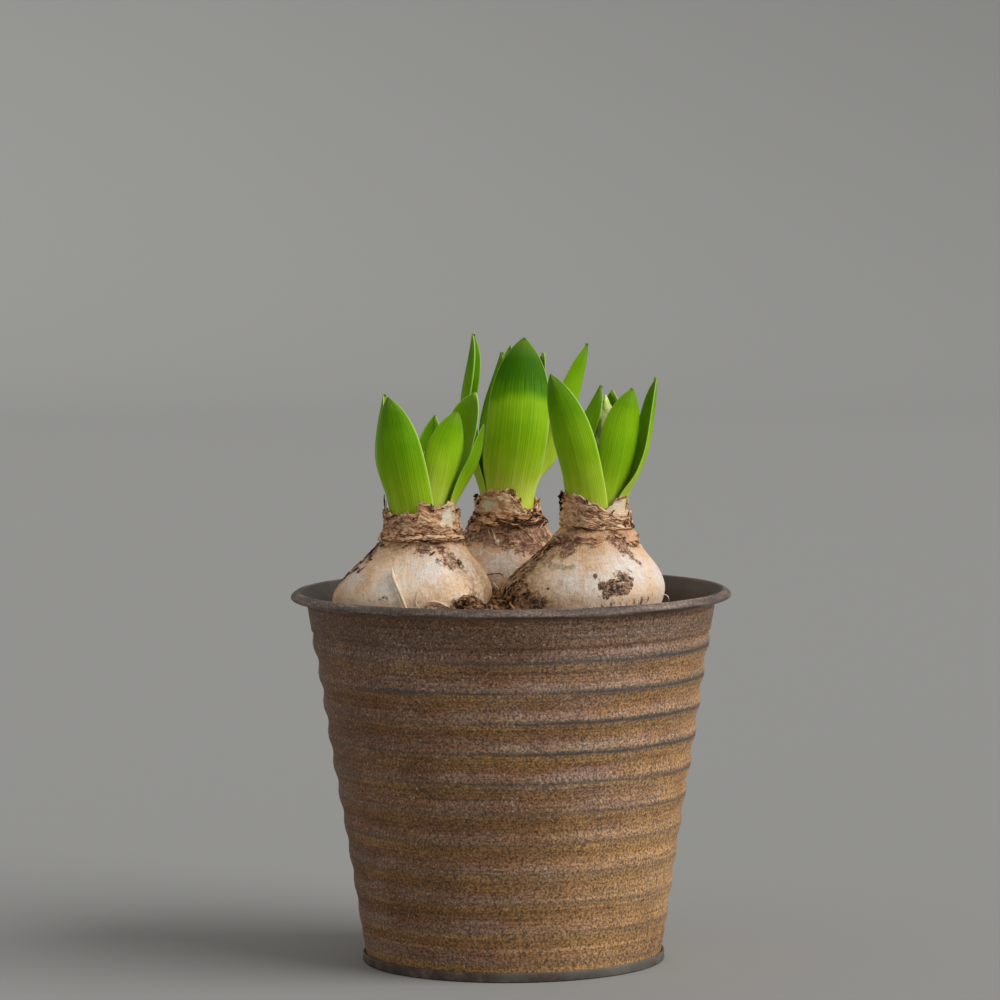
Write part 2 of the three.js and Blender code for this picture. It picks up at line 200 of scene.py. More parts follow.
def pot_base():
    wall_foot = wall_radius(SEAM_FLOOR + GAP)
    channel_out = wall_radius(FOOT_HEIGHT) + GAP
    channel_in = wall_foot - SHEET - GAP
    outline = [
        (0, BASE_RECESS), (channel_in - 1.8, BASE_RECESS), (channel_in - 1.4, BASE_RECESS * 0.6),
        (channel_in - 1, 0), (FOOT_RADIUS - 0.5, 0), (FOOT_RADIUS - 0.15, 0.15), (FOOT_RADIUS, 0.5),
        (FOOT_RADIUS - 0.12, 1.6), (FOOT_RADIUS, FOOT_HEIGHT - 0.5), (FOOT_RADIUS - 0.2, FOOT_HEIGHT - 0.12),
        (channel_out + 0.35, FOOT_HEIGHT), (channel_out, FOOT_HEIGHT - 0.1), (channel_out, SEAM_FLOOR),
        (channel_in, SEAM_FLOOR), (channel_in, FOOT_HEIGHT - 0.6), (channel_in - SHEET, FOOT_HEIGHT - 0.6),
        (channel_in - SHEET, BASE_RECESS + SHEET), (0, BASE_RECESS + SHEET),
    ]
    return turned(outline, POT_SIDES)


add_piece("pot_foot", pot_base(), seam_material(), "seam", "pot_base", sharp=50)


# Pot wall
# Thin tin sheet, rolled to a cone and pressed in ribs, with its top edge flared and rolled outwards. It wears a
# rust-brown patina that was brushed on level, and that has rubbed through to dark metal on ribs and rim.
# Painted shade darkens the rib crests and the side away from the window, and painted light the window side.

RIM_RADIUS = 75
RIM_HEIGHT = 126.8
LIP_DROP = 2.9
LIP_FOOT_HEIGHT = 122.6
CREASE_DEPTH = 0.16
CREASE_HALF_HEIGHT = 0.7
WALL_STEP = 0.5
# The wall is dented between these heights, fading out over a distance at both ends.
DENTS_FOOT = 8
DENTS_HEAD = 121
DENTS_FADE = 12


def crease(height):
    """How deep the fine crease along a rib's crest is at a height, from 0 to 1."""
    turn = (height - TOP_RIB_HEIGHT) / RIB_PITCH
    off = abs(turn - round(turn)) * RIB_PITCH
    if not TOP_RIB_HEIGHT - RIB_COUNT * RIB_PITCH < height < TOP_RIB_HEIGHT + RIB_PITCH / 2:
        return 0
    return max(0, 1 - off / CREASE_HALF_HEIGHT)


def through(points, per_span):
    """Points on a smooth curve that passes through the given ones."""
    points = [Vector(p) for p in points]
    ends = [points[0] * 2 - points[1], *points, points[-1] * 2 - points[-2]]
    made = []
    for i in range(1, len(ends) - 2):
        a, b, c, d = ends[i - 1:i + 3]
        for step in range(per_span):
            t = step / per_span
            made.append(0.5 * (2 * b + (c - a) * t + (2 * a - 5 * b + 4 * c - d) * t ** 2
                               + (3 * b - a - 3 * c + d) * t ** 3))
    return [*made, points[-1]]


def lip_outline():
    """The wall's top edge, rolled outwards and down: its outer edge hangs lower than its crest."""
    edge = RIM_HEIGHT - LIP_DROP
    return [
        (RIM_RADIUS - 3.9, edge - 0.5), (RIM_RADIUS - 0.9, edge), (RIM_RADIUS, edge + 0.8),
        (RIM_RADIUS - 0.5, edge + 1.8), (RIM_RADIUS - 1.4, RIM_HEIGHT - 0.4), (RIM_RADIUS - 2.3, RIM_HEIGHT),
        (RIM_RADIUS - 3.2, RIM_HEIGHT - 0.4), (RIM_RADIUS - 4.4, RIM_HEIGHT - 2.2),
    ]


def pot_wall():
    foot = SEAM_FLOOR + GAP
    outline = []
    height = foot
    while height < LIP_FOOT_HEIGHT:
        outline.append((wall_radius(height) - CREASE_DEPTH * crease(height), height))
        height += WALL_STEP
    outline.append((wall_radius(LIP_FOOT_HEIGHT), LIP_FOOT_HEIGHT))
    outline += through(lip_outline(), 3)
    outline.append((wall_radius(LIP_FOOT_HEIGHT - 1) - SHEET, LIP_FOOT_HEIGHT - 1))
    outline.append((WALL_FOOT_RADIUS + WALL_TAPER * foot - SHEET, foot))
    outline.append(outline[0])
    bm = turned(outline, POT_SIDES)
    # Thin sheet is never quite true: broad dents, tenths of a millimetre deep, and uneven rib edges.
    inside = bm.verts.layers.float.new("inside")
    for vert in bm.verts:
        radius = math.hypot(vert.co.x, vert.co.y)
        under_lip = vert.co.z > RIM_HEIGHT - 2.7 and radius < RIM_RADIUS - 2.9
        sheltered = under_lip or radius < WALL_FOOT_RADIUS + WALL_TAPER * vert.co.z - 0.7
        vert[inside] = 1.0 if sheltered else 0.0
        fade = smooth((vert.co.z - DENTS_FOOT) / DENTS_FADE) * smooth((DENTS_HEAD - vert.co.z) / DENTS_FADE)
        dent = noise.noise(vert.co * 0.035) * 0.28 + noise.noise(vert.co * 0.11) * 0.1 - 0.16
        ratio = (radius + fade * dent) / radius
        vert.co.x *= ratio
        vert.co.y *= ratio
        vert.co.z += fade * 0.5 * noise.noise(Vector((vert.co.x, vert.co.y, vert.co.z * 0.6)) * 0.05)
    return bm


def tin_material():
    """Brushed rust-brown patina on tin sheet: level streaks, coarse grains, dark where rubbed, painted light
    and shade.
    """
    made, add, place = new_material("rust_patina_tin", {"Roughness": 0.6, "Metallic": 0.12})
    level, east = (add("SeparateXYZ", place, out=axis) for axis in "ZX")
    # Brush streaks, about 25 mm long and 2 mm high, and scratches four times as long and 0.7 mm high.
    flat = add("Mapping", place, None, None, (1, 1, 11))
    streaks = add("TexNoise", flat, 44, 8, 0.66)
    long = add("Mapping", place, None, None, (1, 1, 120))
    scratches = add("TexNoise", long, 12, 4, 0.6)
    # Clouds about 30 mm across.
    clouds = add("TexNoise", place, 30, 5, 0.6)
    # From one rib's crest to the next the patina goes from pinkish grey through red-brown to ochre.
    waver = add("MapRange", clouds, 0.3, 0.7, -0.0005, 0.0005)
    turns = add("Math", level, waver, operation="ADD")
    turns = add("Math", turns, TOP_RIB_HEIGHT * MM, operation="SUBTRACT")
    turns = add("Math", turns, RIB_PITCH * MM, operation="DIVIDE")
    up_rib = add("Math", turns, operation="FRACT")
    sway = add("MapRange", streaks, 0.3, 0.7, -0.42, 0.42)
    up_rib = add("Math", up_rib, sway, operation="ADD")
    patina = add("ValToRGB", up_rib, stops=[(0.0, "#94785f"), (1.0, "#a17b4c"), (0.25, "#91705a"),
                                            (0.45, "#8a5f40"), (0.62, "#91673f"), (0.8, "#9a7343")])
    # It turns a pale ochre low on the window side: worn patina, and painted light where the window light
    # falls. Above the ribs lies a violet-grey bloom, with an ochre stripe right under the rolled rim. Darker,
    # redder clouds lie mostly on the side away from the window: the patina's own clouds, and painted shade
    # there.
    for shade, share, value, low, high, slopes in (
            ("#c79a66", 0.85, clouds, 0.35, 0.75, [(east, 5.5), (level, -2.6)]),
            ("#6f584a", 0.8, level, 0.119, 0.131, [(clouds, 0.03)]),
            ("#8c6338", 0.8, level, 0.1225, 0.1245, [(streaks, 0.008)]),
            ("#613c1c", 0.64, clouds, 0.42, 0.68, [(east, -1.6)])):
        patina = washed(add, patina, colour(shade), share, value, low, high, slopes)
    # A pinkish-grey bloom in level smears, about 40 mm long, on the upper half and mostly towards the window,
    # where it is also painted sheen on the lit side.
    smear = add("Mapping", place, (5, 2, 1), None, (1, 1, 4))
    smears = add("TexNoise", smear, 26, 6, 0.65)
    smears = add("Math", level, 1.4, smears, operation="MULTIPLY_ADD")
    most = add("MapRange", east, -0.06, 0.0, 0.12, 0.42)
    smeared = add("MapRange", smears, 0.58, 0.78, 0.0, most)
    patina = add("Mix", smeared, patina, colour("#967c6e"), **OVER)
    scratch = add("ValToRGB", scratches, stops=[(0.34, 0.28), (0.68, 0.7), (0.5, 0.5)])
    patina = add("Mix", 0.55, patina, scratch, **OVERLAY)
    # The patina's grains, drawn 0.8 mm across because real ones would be too fine to show.
    grain = add("TexNoise", place, 1250, 3, 0.75)
    speckle = add("ValToRGB", grain, stops=[(0.38, 0.1), (0.63, 0.92), (0.5, 0.5)])
    patina = add("Mix", 0.85, patina, speckle, **OVERLAY)
    # Pale dust sits in grains on the smears, in patches.
    dust = add("TexNoise", place, 900, 2, 0.6)
    patina = washed(add, patina, colour("#cbb6aa"), 0.7, dust, 0.655, 0.7, [(smeared, 0.12)])
    # The crease on each crest shows dark metal and painted shade of the step below the crest, broader towards
    # the window, broken away from it, faint below.
    off = add("Math", turns, 0.5, operation="PINGPONG")
    off = add("Math", off, add("MapRange", grain, 0.3, 0.7, -0.035, 0.035), operation="ADD")
    worn = add("TexNoise", flat, 15, 5, 0.7)
    worn = add("Math", east, 2.6, worn, operation="MULTIPLY_ADD")
    reach = add("MapRange", worn, 0.35, 0.72, 0.08, 0.21)
    line = add("MapRange", off, 0.01, reach, 1.0, 0.0)
    for value, *span in ((worn, 0.38, 0.58, 0.3, 0.95), (level, 0.045, 0.075, 0.42, 1.0),
                         (level, 0.1132, 0.1142, 1.0, 0.0)):
        line = add("Math", line, add("MapRange", value, *span), operation="MULTIPLY")
    patina = add("Mix", line, patina, colour("#4c4642"), **OVER)
    # The rolled rim is rubbed to violet-grey metal, and the inside and the inner side of the roll are dark
    # grey-brown.
    rubbed = add("ValToRGB", streaks, stops=[(0.34, "#3b312c"), (0.64, "#948175"), (0.5, "#62554e")])
    rubbed = add("Mix", 0.65, rubbed, speckle, **OVERLAY)
    patina = washed(add, patina, rubbed, 0.92, level, 0.1226, 0.1236)
    bare = add("ValToRGB", clouds, stops=[(0.35, "#453d39"), (0.65, "#62574f")])
    patina = add("Mix", add("Attribute", attribute_name="inside", out="Fac"), patina, bare, **OVER)
    relief = add("Math", scratches, 0.6, grain, operation="MULTIPLY_ADD")
    roughness = add("MapRange", streaks, 0.3, 0.75, 0.52, 0.72)
    return surfaced(made, patina, relief, 0.14, roughness)


add_piece("pot_tin", pot_wall(), tin_material(), "tin", "pot_wall", sharp=60)


# Soil
# Moist potting soil, heaped between the bulbs and lowest at the wall, with loose crumbs and bits of bark on it.

SOIL_CROWN = 125
SOIL_EDGE_HEIGHT = 116.5
SOIL_FLOOR = BASE_RECESS + SHEET + GAP
SOIL_RINGS = 80
SOIL_SIDES = 180
CRUMB_REACH = 64
CRUMBS = 1900

# Each bulb: the middle of its widest level and its radius there, the neck's centre and radius, and how many
# millimetres of the neck's foot are bare of husk.
BULBS = {
    "left": dict(at=(-33, -14, 125), radius=26.9, neck=(-29.9, -14), neck_radius=11.6, bare=0),
    "middle": dict(at=(-2.2, 33, 126.5), radius=25.6, neck=(-0.9, 33), neck_radius=10.3, bare=0),
    "right": dict(at=(24.3, -16, 126), radius=27.6, neck=(28.7, -16), neck_radius=10.9, bare=3),
}
# Where soil and bark are heaped against the bulbs: place, height and spread.
MOUNDS = [(-15.5, -38, 5, 5.5), (-3, -12, 2.4, 8)]


def soil_height(x, y):
    out = min(1, math.hypot(x, y) / 66)
    heaped = sum(tall * math.exp(-((x - at_x) ** 2 + (y - at_y) ** 2) / spread ** 2)
                 for at_x, at_y, tall, spread in MOUNDS)
    lumps = (0.5 * math.sin(0.31 * x + 0.2 * y) + 0.4 * math.sin(0.27 * y - 0.36 * x + 1)
             + 0.3 * math.cos(0.55 * x))
    return blend(SOIL_CROWN, SOIL_EDGE_HEIGHT, out ** 2.2) + lumps * 0.9 + heaped


def soil_body():
    wall_clear = SHEET + LOW_RIB_SWELL + GAP
    edge = WALL_FOOT_RADIUS + WALL_TAPER * SOIL_EDGE_HEIGHT - wall_clear - 0.3
    narrow = wall_radius(SEAM_FLOOR + GAP) - 2 * (SHEET + GAP) - GAP
    wide = WALL_FOOT_RADIUS + WALL_TAPER * (FOOT_HEIGHT + 1) - wall_clear
    outline = [(0, SOIL_FLOOR), (narrow, SOIL_FLOOR), (narrow, FOOT_HEIGHT), (wide, FOOT_HEIGHT + 1)]
    outline += [(edge * (1 - i / SOIL_RINGS), SOIL_EDGE_HEIGHT) for i in range(SOIL_RINGS + 1)]
    bm = turned(outline, SOIL_SIDES)
    for vert in bm.verts:
        if vert.co.z > SOIL_EDGE_HEIGHT - 1:
            x, y = vert.co.x, vert.co.y
            fade = smooth((edge - math.hypot(x, y)) / 1.5)
            rough = noise.fractal(Vector((x, y, 3)) * 0.35, 0.8, 2.1, 4)
            vert.co.z = soil_height(x, y) + fade * 0.7 * rough
    return bm


def crumbs(count, seed):
    """Loose crumbs and slivers of bark, scattered over the soil and thicker on the heaps."""
    draw = random.Random(seed)
    # Without a seed, noise_vector answers otherwise on each run.
    noise.seed_set(seed)
    bm = bmesh.new()
    tone = bm.verts.layers.float.new("tone")
    placed = 0
    while placed < count:
        turn = draw.uniform(0, math.tau)
        out = CRUMB_REACH * math.sqrt(draw.random())
        x, y = out * math.cos(turn), out * math.sin(turn)
        # One in six lies on a heap.
        if placed % 6 == 0:
            at_x, at_y, tall, spread = draw.choice(MOUNDS)
            x, y = draw.gauss(at_x, spread * 0.7), draw.gauss(at_y, spread * 0.7)
        size = draw.uniform(0.35, 1.5) * draw.uniform(0.6, 1)
        clear = [math.hypot(x - b["at"][0], y - b["at"][1]) - b["radius"] for b in BULBS.values()]
        if min(clear) < size - 1.2:
            continue
        sliver = draw.random() < 0.3
        stretch = (draw.uniform(1.5, 2.8), 0.6, 0.4) if sliver else (draw.uniform(0.7, 1.5), 0.9, 0.7)
        made = bmesh.ops.create_icosphere(bm, subdivisions=1, radius=size)["verts"]
        turned_by = Matrix.Rotation(draw.uniform(0, math.tau), 4, (draw.random(), draw.random(), 1.5))
        seat = Matrix.Translation((x, y, soil_height(x, y) + size * 0.3))
        bmesh.ops.transform(bm, matrix=seat @ turned_by @ Matrix.Diagonal((*stretch, 1)), verts=made)
        shade = draw.uniform(-0.12, 0.14) + (0.1 if sliver else 0)
        for vert in made:
            vert.co += noise.noise_vector(vert.co * 1.3) * size * 0.35
            vert[tone] = shade
        placed += 1
    return bm


def soil_material():
    """Peat and bark potting soil: dark brown when moist, with paler fibres and slivers of bark."""
    made, add, place = new_material("moist_potting_soil", {"Roughness": 0.92, "IOR": 1.5})
    # Clods are about 2 mm across.
    clods = add("TexNoise", place, 520, 8, 0.75)
    lit = add("Math", clods, add("Attribute", attribute_name="tone", out="Fac"), operation="ADD")
    shade = add("ValToRGB", lit, stops=[(0.36, "#22140b"), (0.74, "#e3b682"), (0.46, "#523521"),
                                        (0.54, "#8f6440"), (0.63, "#bd8f60")])
    return surfaced(made, shade, clods, 1.2)


soil_finish = soil_material()
add_piece("soil_bed", soil_body(), soil_finish, "soil", "soil")
add_piece("soil_crumbs", crumbs(CRUMBS, seed=4), soil_finish, "soil")


# Bulbs
# Each bulb is a ball of fleshy scales in a thin dry skin. The skin is cream where it is whole, white where
# it has worn through to the scale, and purple-brown where old layers of it still cling.

NECK_RISE = 21
NECK_LENGTH = 4.5
NECK_WALL = 0.9
# Half of the outline from root plate to shoulder: shares of the radius, and millimetres from the widest level.
BULB_OUTLINE = [
    (0, -23.5), (0.28, -23.5), (0.36, -21.5), (0.62, -18), (0.84, -12.5), (0.965, -6), (1, 0),
    (0.985, 3.2), (0.92, 6.6), (0.81, 10.5), (0.68, 14), (0.565, 17.6), (0.505, 20.4),
]
BULB_SIDES = 200


def polar(place):
    """A place's angle round the Z axis, its distance from it, and its direction."""
    turn = math.atan2(place.y, place.x)
    return turn, math.hypot(place.x, place.y), Vector((math.cos(turn), math.sin(turn), 0))


def skin_radius(bulb, rise):
    """How far the skin, or the husk's flared foot, is from the axis at a height over the widest level."""
    for (share, low), (next_share, high) in zip(BULB_OUTLINE, BULB_OUTLINE[1:]):
        if low <= rise < high:
            return bulb["radius"] * blend(share, next_share, (rise - low) / (high - low))
    shoulder = BULB_OUTLINE[-1][0] * bulb["radius"] - bulb["neck_radius"]
    return bulb["neck_radius"] + shoulder * max(0, 1 - (rise - NECK_RISE) / 5) ** 2


def bulb_body(bulb):
    x, y, z = bulb["at"]
    neck_off = Vector((bulb["neck"][0] - x, bulb["neck"][1] - y, 0))
    socket = bulb["neck_radius"] - NECK_WALL
    outline = [BULB_OUTLINE[0], *through(BULB_OUTLINE[1:], 7)]
    outline = [(share * bulb["radius"], height) for share, height in outline]
    neck_foot = NECK_RISE
    if bulb["bare"]:
        # The shoulder sweeps up into the neck where no husk hides it.
        outline += [(skin_radius(bulb, NECK_RISE + i / 2), NECK_RISE + i / 2) for i in range(9)]
        neck_foot += NECK_LENGTH - 0.2
    outline += [(bulb["neck_radius"], neck_foot), (bulb["neck_radius"], NECK_RISE + NECK_LENGTH)]
    outline += [(socket, NECK_RISE + NECK_LENGTH), (socket, NECK_RISE + 1), (0, NECK_RISE + 1)]
    bm = turned(outline, BULB_SIDES)
    for vert in bm.verts:
        place = vert.co.copy()
        round_at, _, around = polar(place)
        rise = place.z / NECK_RISE
        fade = max(0, 1 - rise * rise)
        ridge = 1 + fade * (0.016 * math.sin(3 * round_at + x) + 0.01 * math.sin(5 * round_at + 2 * rise))
        # Veins and old folds run from root plate to neck, and the skin is wrinkled under the neck.
        fold = noise.fractal(around * 6 + Vector((x, 0, rise * 0.5)), 0.9, 2, 3) * 0.005 * fade
        lumps = noise.noise(place * 0.13 + Vector((x, y, 0))) * 0.008 * fade
        under_neck = smooth((rise - 0.55) / 0.4) * (1 if rise < 1 else 0)
        wrinkle = noise.noise(Vector((around.x * 3, around.y * 3, place.z * 0.8))) * 0.03 * under_neck
        ratio = ridge + fold + lumps + wrinkle
        place.x *= ratio
        place.y *= ratio
        vert.co = place + Vector(bulb["at"]) + neck_off * (rise if rise < 1 else 1)
    return bm


# What clings to the skin: how ragged and how soft its edge is in mm, how broken it is, its share where it is
# thickest, how far it stands out, how dark its rim is, and its darkest and lightest tone.
CLINGS = {
    "tan": (6, 5, 0, 0.62, 0, 0, "#b98c62", "#eac79e"),
    "ochre": (5, 3, 0, 0.68, 0.2, 0, "#906843", "#d4aa7d"),
    "chalk": (7, 4, 0, 0.75, 0, 0, "#e2dad4", "#f9f4ef"),
    "olive": (3.4, 0.5, 0.45, 0.6, 0.3, 0, "#6e6148", "#b3a182"),
    "purple": (3.8, 0.2, 0, 0.95, 0.5, 0.4, "#704c3a", "#bb8f74"),
    "russet": (4.4, 0.2, 0, 0.92, 0.6, 0.7, "#75452f", "#dcae90"),
    "bark": (4.6, 0.4, 0.42, 0.9, 1.2, 0, "#402c1f", "#d1a97e"),
    "torn": (4.2, 0.2, 0, 1, 1.2, 0.85, "#2c1b12", "#ba8e6f"),
    "crumb": (2, 0.4, 0.53, 0.8, 0.9, 0, "#463020", "#ad8763"),
    "slit": (1.2, 0.12, 0.44, 0.9, 0.5, 0, "#cba880", "#f2e3c6"),
}
# Where it clings: the spot's x, y and z in mm, its radius, and how much flatter than wide it is.
CLINGING = {
    "left": {
        # The tan spots near x -12 and the ochre spot at x -14.5 sit on this bulb's sunlit flank: tan skin, and
        # painted shade.
        "tan": [(-33.5, -27, 145.5, 8, 2), (-12, -28, 131, 6, 0.7), (-48, -24, 138, 5, 0.8),
                (-30, -41, 126, 5, 2.5), (-41, -26, 142, 6, 1.4), (-28, -29, 144.4, 5, 1.8),
                (-22, -39, 129.5, 5, 1.5), (-12, -26.5, 133, 8, 0.8)],
        "ochre": [(-11.5, -24, 136.5, 4.5, 0.5), (-8.5, -23, 129.5, 4.5, 0.5), (-15, -24, 143, 3.5, 0.8),
                  (-36, -25, 145, 4.5, 1.8), (-22, -26, 146, 4, 2), (-14.5, -27.5, 132.5, 4.5, 0.8)],
        "chalk": [(-27.5, -34.5, 136.4, 6, 1), (-41, -37, 131.5, 4.5, 1), (-52, -26, 133, 3, 1),
                  (-14.6, -25.5, 141.5, 2.4, 0.5)],
        "purple": [(-29.6, -28.8, 142.8, 2.3, 1.7), (-25, -27.5, 144.6, 1.6, 2), (-34.5, -33, 139, 0.7, 1)],
        "russet": [(-20.8, -29, 139.4, 2.9, 0.85), (-18.4, -28.2, 138.4, 2, 1),
                   (-22.5, -28.6, 141.6, 1.5, 1.6)],
        "bark": [(-46, -13, 142.4, 6.4, 1), (-51.5, -12, 137.2, 4.8, 1), (-56, -12, 131.5, 4.2, 1),
                 (-49, -16.4, 139.4, 2.6, 1), (-52.6, -17.6, 136, 1.8, 1), (-32, 6, 141, 9, 1),
                 (-52, 6, 132, 5, 1)],
        "torn": [(-16.9, -27.2, 137.8, 0.9, 1), (-17.3, -26.6, 139.2, 0.7, 1.4)],
        "crumb": [(-26.5, -40.2, 124.2, 2.8, 2.2), (-12, -33, 125.5, 4, 1), (-42.5, -38.8, 127.4, 1.4, 1.4),
                  (-16, -28.3, 137, 1.6, 1)],
        "slit": [(-20.4, -28.8, 139.8, 0.9, 0.5), (-24, -27.4, 144, 1.1, 3), (-19, -28, 141.4, 0.8, 2)],
    },
    "middle": {
        "tan": [(-12, 19, 137, 5, 1), (12, 16, 135, 6, 1), (-4, 9, 129, 5, 1.4)],
        "chalk": [(-3.5, 9.8, 134.6, 7, 1.3), (-12, 14, 140, 2.5, 1)],
        "purple": [(-1, 20.5, 147, 10, 2.4), (9, 23.5, 145, 5, 1.5), (-1.5, 18, 144, 7.2, 1.25),
                   (6.3, 17, 141.4, 4.6, 1), (-8.4, 20, 143.2, 3.6, 1), (4, 14.8, 139.6, 2.4, 1),
                   (9.8, 18, 139.4, 2.6, 1), (-2.6, 14.2, 139.3, 1.4, 2), (-6, 50, 141, 8, 1)],
        "russet": [(1.5, 16, 141.5, 2.6, 1.4), (19, 42, 137, 5, 1)],
        "bark": [(-14, 24, 142, 3.6, 1), (-21, 30, 136, 4.5, 1), (14, 25, 141, 3.4, 1)],
        "crumb": [(-20, 20, 127, 6, 1), (14, 14, 127, 6, 1)],
        "slit": [(-4.6, 16.8, 142.6, 1.1, 0.5), (7.6, 15.6, 141, 1.3, 0.6), (1.2, 14.9, 140.4, 1, 2.4)],
    },
    "right": {
        "tan": [(30, -29, 147, 6, 1.6), (13, -28.4, 141, 6, 1), (8, -37, 127.5, 8, 1.2),
                (20, -43, 127.5, 6, 1.6), (27, -37.5, 139, 3.5, 1.4), (6, -29, 135, 5, 0.8),
                (26, -32, 143.5, 5.5, 1.6), (17, -40, 131, 4, 1.2)],
        "ochre": [(12.5, -25, 143, 5.5, 1), (8.6, -26, 138, 4.4, 1), (6, -28, 135, 4, 1), (4.6, -30, 132, 4, 1),
                  (5, -34.5, 127.6, 6.5, 1), (12, -39.6, 125.6, 4.5, 1.4), (22, -25.5, 147.4, 5, 1.8),
                  (36, -26, 146.6, 4, 1)],
        "chalk": [(38.6, -33.6, 135.8, 6.5, 1), (50, -20, 131, 4.5, 0.8), (28, -41.5, 132.5, 4, 1.2),
                  (20, -40, 133, 4, 1)],
        "olive": [(14.4, -33.8, 137.3, 2.7, 2.2), (18.8, -36.2, 137, 2, 2.4), (11.5, -28.2, 138.8, 2.5, 1.3),
                  (14, -24, 147, 2.4, 1)],
        "purple": [(19.5, -26, 148.6, 2.4, 1), (18.4, -26, 145.8, 2.7, 1), (19.6, -30, 142.6, 2.7, 0.9),
                   (15, -24.2, 144.1, 1.8, 2), (22.1, -29, 145.4, 1.2, 1)],
        "russet": [(35, -28.4, 146.4, 2.2, 0.9), (37.6, -28.7, 143.4, 1.9, 0.7), (40.3, -28.9, 140.6, 1.4, 0.6),
                   (42.6, -29.1, 138.3, 0.9, 0.8), (28.1, -39.9, 134.4, 0.5, 0.6)],
        "bark": [(10, -19.5, 143, 4.6, 1), (6.6, -21.5, 139.4, 5.6, 1), (3.6, -23, 135.4, 6, 1),
                 (1.4, -24, 131, 6.4, 1), (-0.6, -24, 126.6, 6, 1), (5.6, -35.2, 128.8, 1.5, 1),
                 (9, -39, 125.6, 3, 1.6), (26, 3, 141, 8, 1), (47, -6, 136, 5, 1)],
        "torn": [(34.6, -40.2, 130.7, 5.6, 2.3), (37.6, -37.4, 133.4, 2.5, 1), (31.8, -42.2, 129.2, 1.8, 1),
                 (30.6, -41.8, 131.4, 1.7, 1), (30.7, -42.8, 125.8, 0.35, 0.7), (32.9, -42.1, 125.3, 0.4, 0.5),
                 (34.2, -41.8, 126.1, 0.3, 0.6), (38.1, -39.9, 125.8, 0.4, 0.4),
                 (40.6, -38.2, 125.9, 0.45, 0.5), (43.1, -36.2, 126.1, 0.4, 0.35),
                 (45.8, -33.4, 126.1, 0.45, 0.4), (12.3, -39.2, 130.4, 0.35, 1)],
        "crumb": [(30.5, -42.6, 124.2, 3, 2.6), (44.6, -34.5, 124.6, 3.4, 1.6), (2, -33, 126, 4, 1),
                  (6.5, -36.8, 126.6, 3, 1)],
        "slit": [(37, -38.6, 132, 2.8, 5), (33.6, -41.1, 130.6, 1.1, 5), (38.6, -30.6, 142.6, 1, 0.5)],
    },
}


def spotted(add, place, spots, rag):
    """How far in metres a place is within a ragged, flattened patch round one of the spots, below 0 outside."""
    raggedness = add("TexNoise", place, 380, 9, 0.82)
    sway = add("MapRange", raggedness, 0.3, 0.7, -rag * MM, rag * MM)
    total = None
    for *centre, radius, squash in spots:
        away = add("VectorMath", place, Vector(centre) * MM, operation="SUBTRACT")
        away = add("VectorMath", away, (1, 1, squash), operation="MULTIPLY")
        away = add("VectorMath", away, operation="LENGTH")
        # A small patch is less ragged than a large one.
        edge = add("Math", sway, min(1, radius / 2.5), away, operation="MULTIPLY_ADD")
        within = add("Math", radius * MM, edge, operation="SUBTRACT")
        total = add("Math", total, within, operation="MAXIMUM") if total else within
    return total


def wrinkled(add, under, dark, share, value, width, layer):
    """Draws thin wandering lines on a colour, where a noise passes through its middle."""
    off = add("Math", value, 0.5, operation="SUBTRACT")
    off = add("Math", off, operation="ABSOLUTE")
    return add("Mix", add("MapRange", off, 0.0, width, share, 0.0), under, dark, **layer)


# Each bulb's own tint; the left bulb's is also lightened, as painted light on its shaded side.
TINTS_AND_PAINTED_LIGHT = {"left": "#fff5ea", "middle": "#e6c9b5", "right": "#f8ece1"}


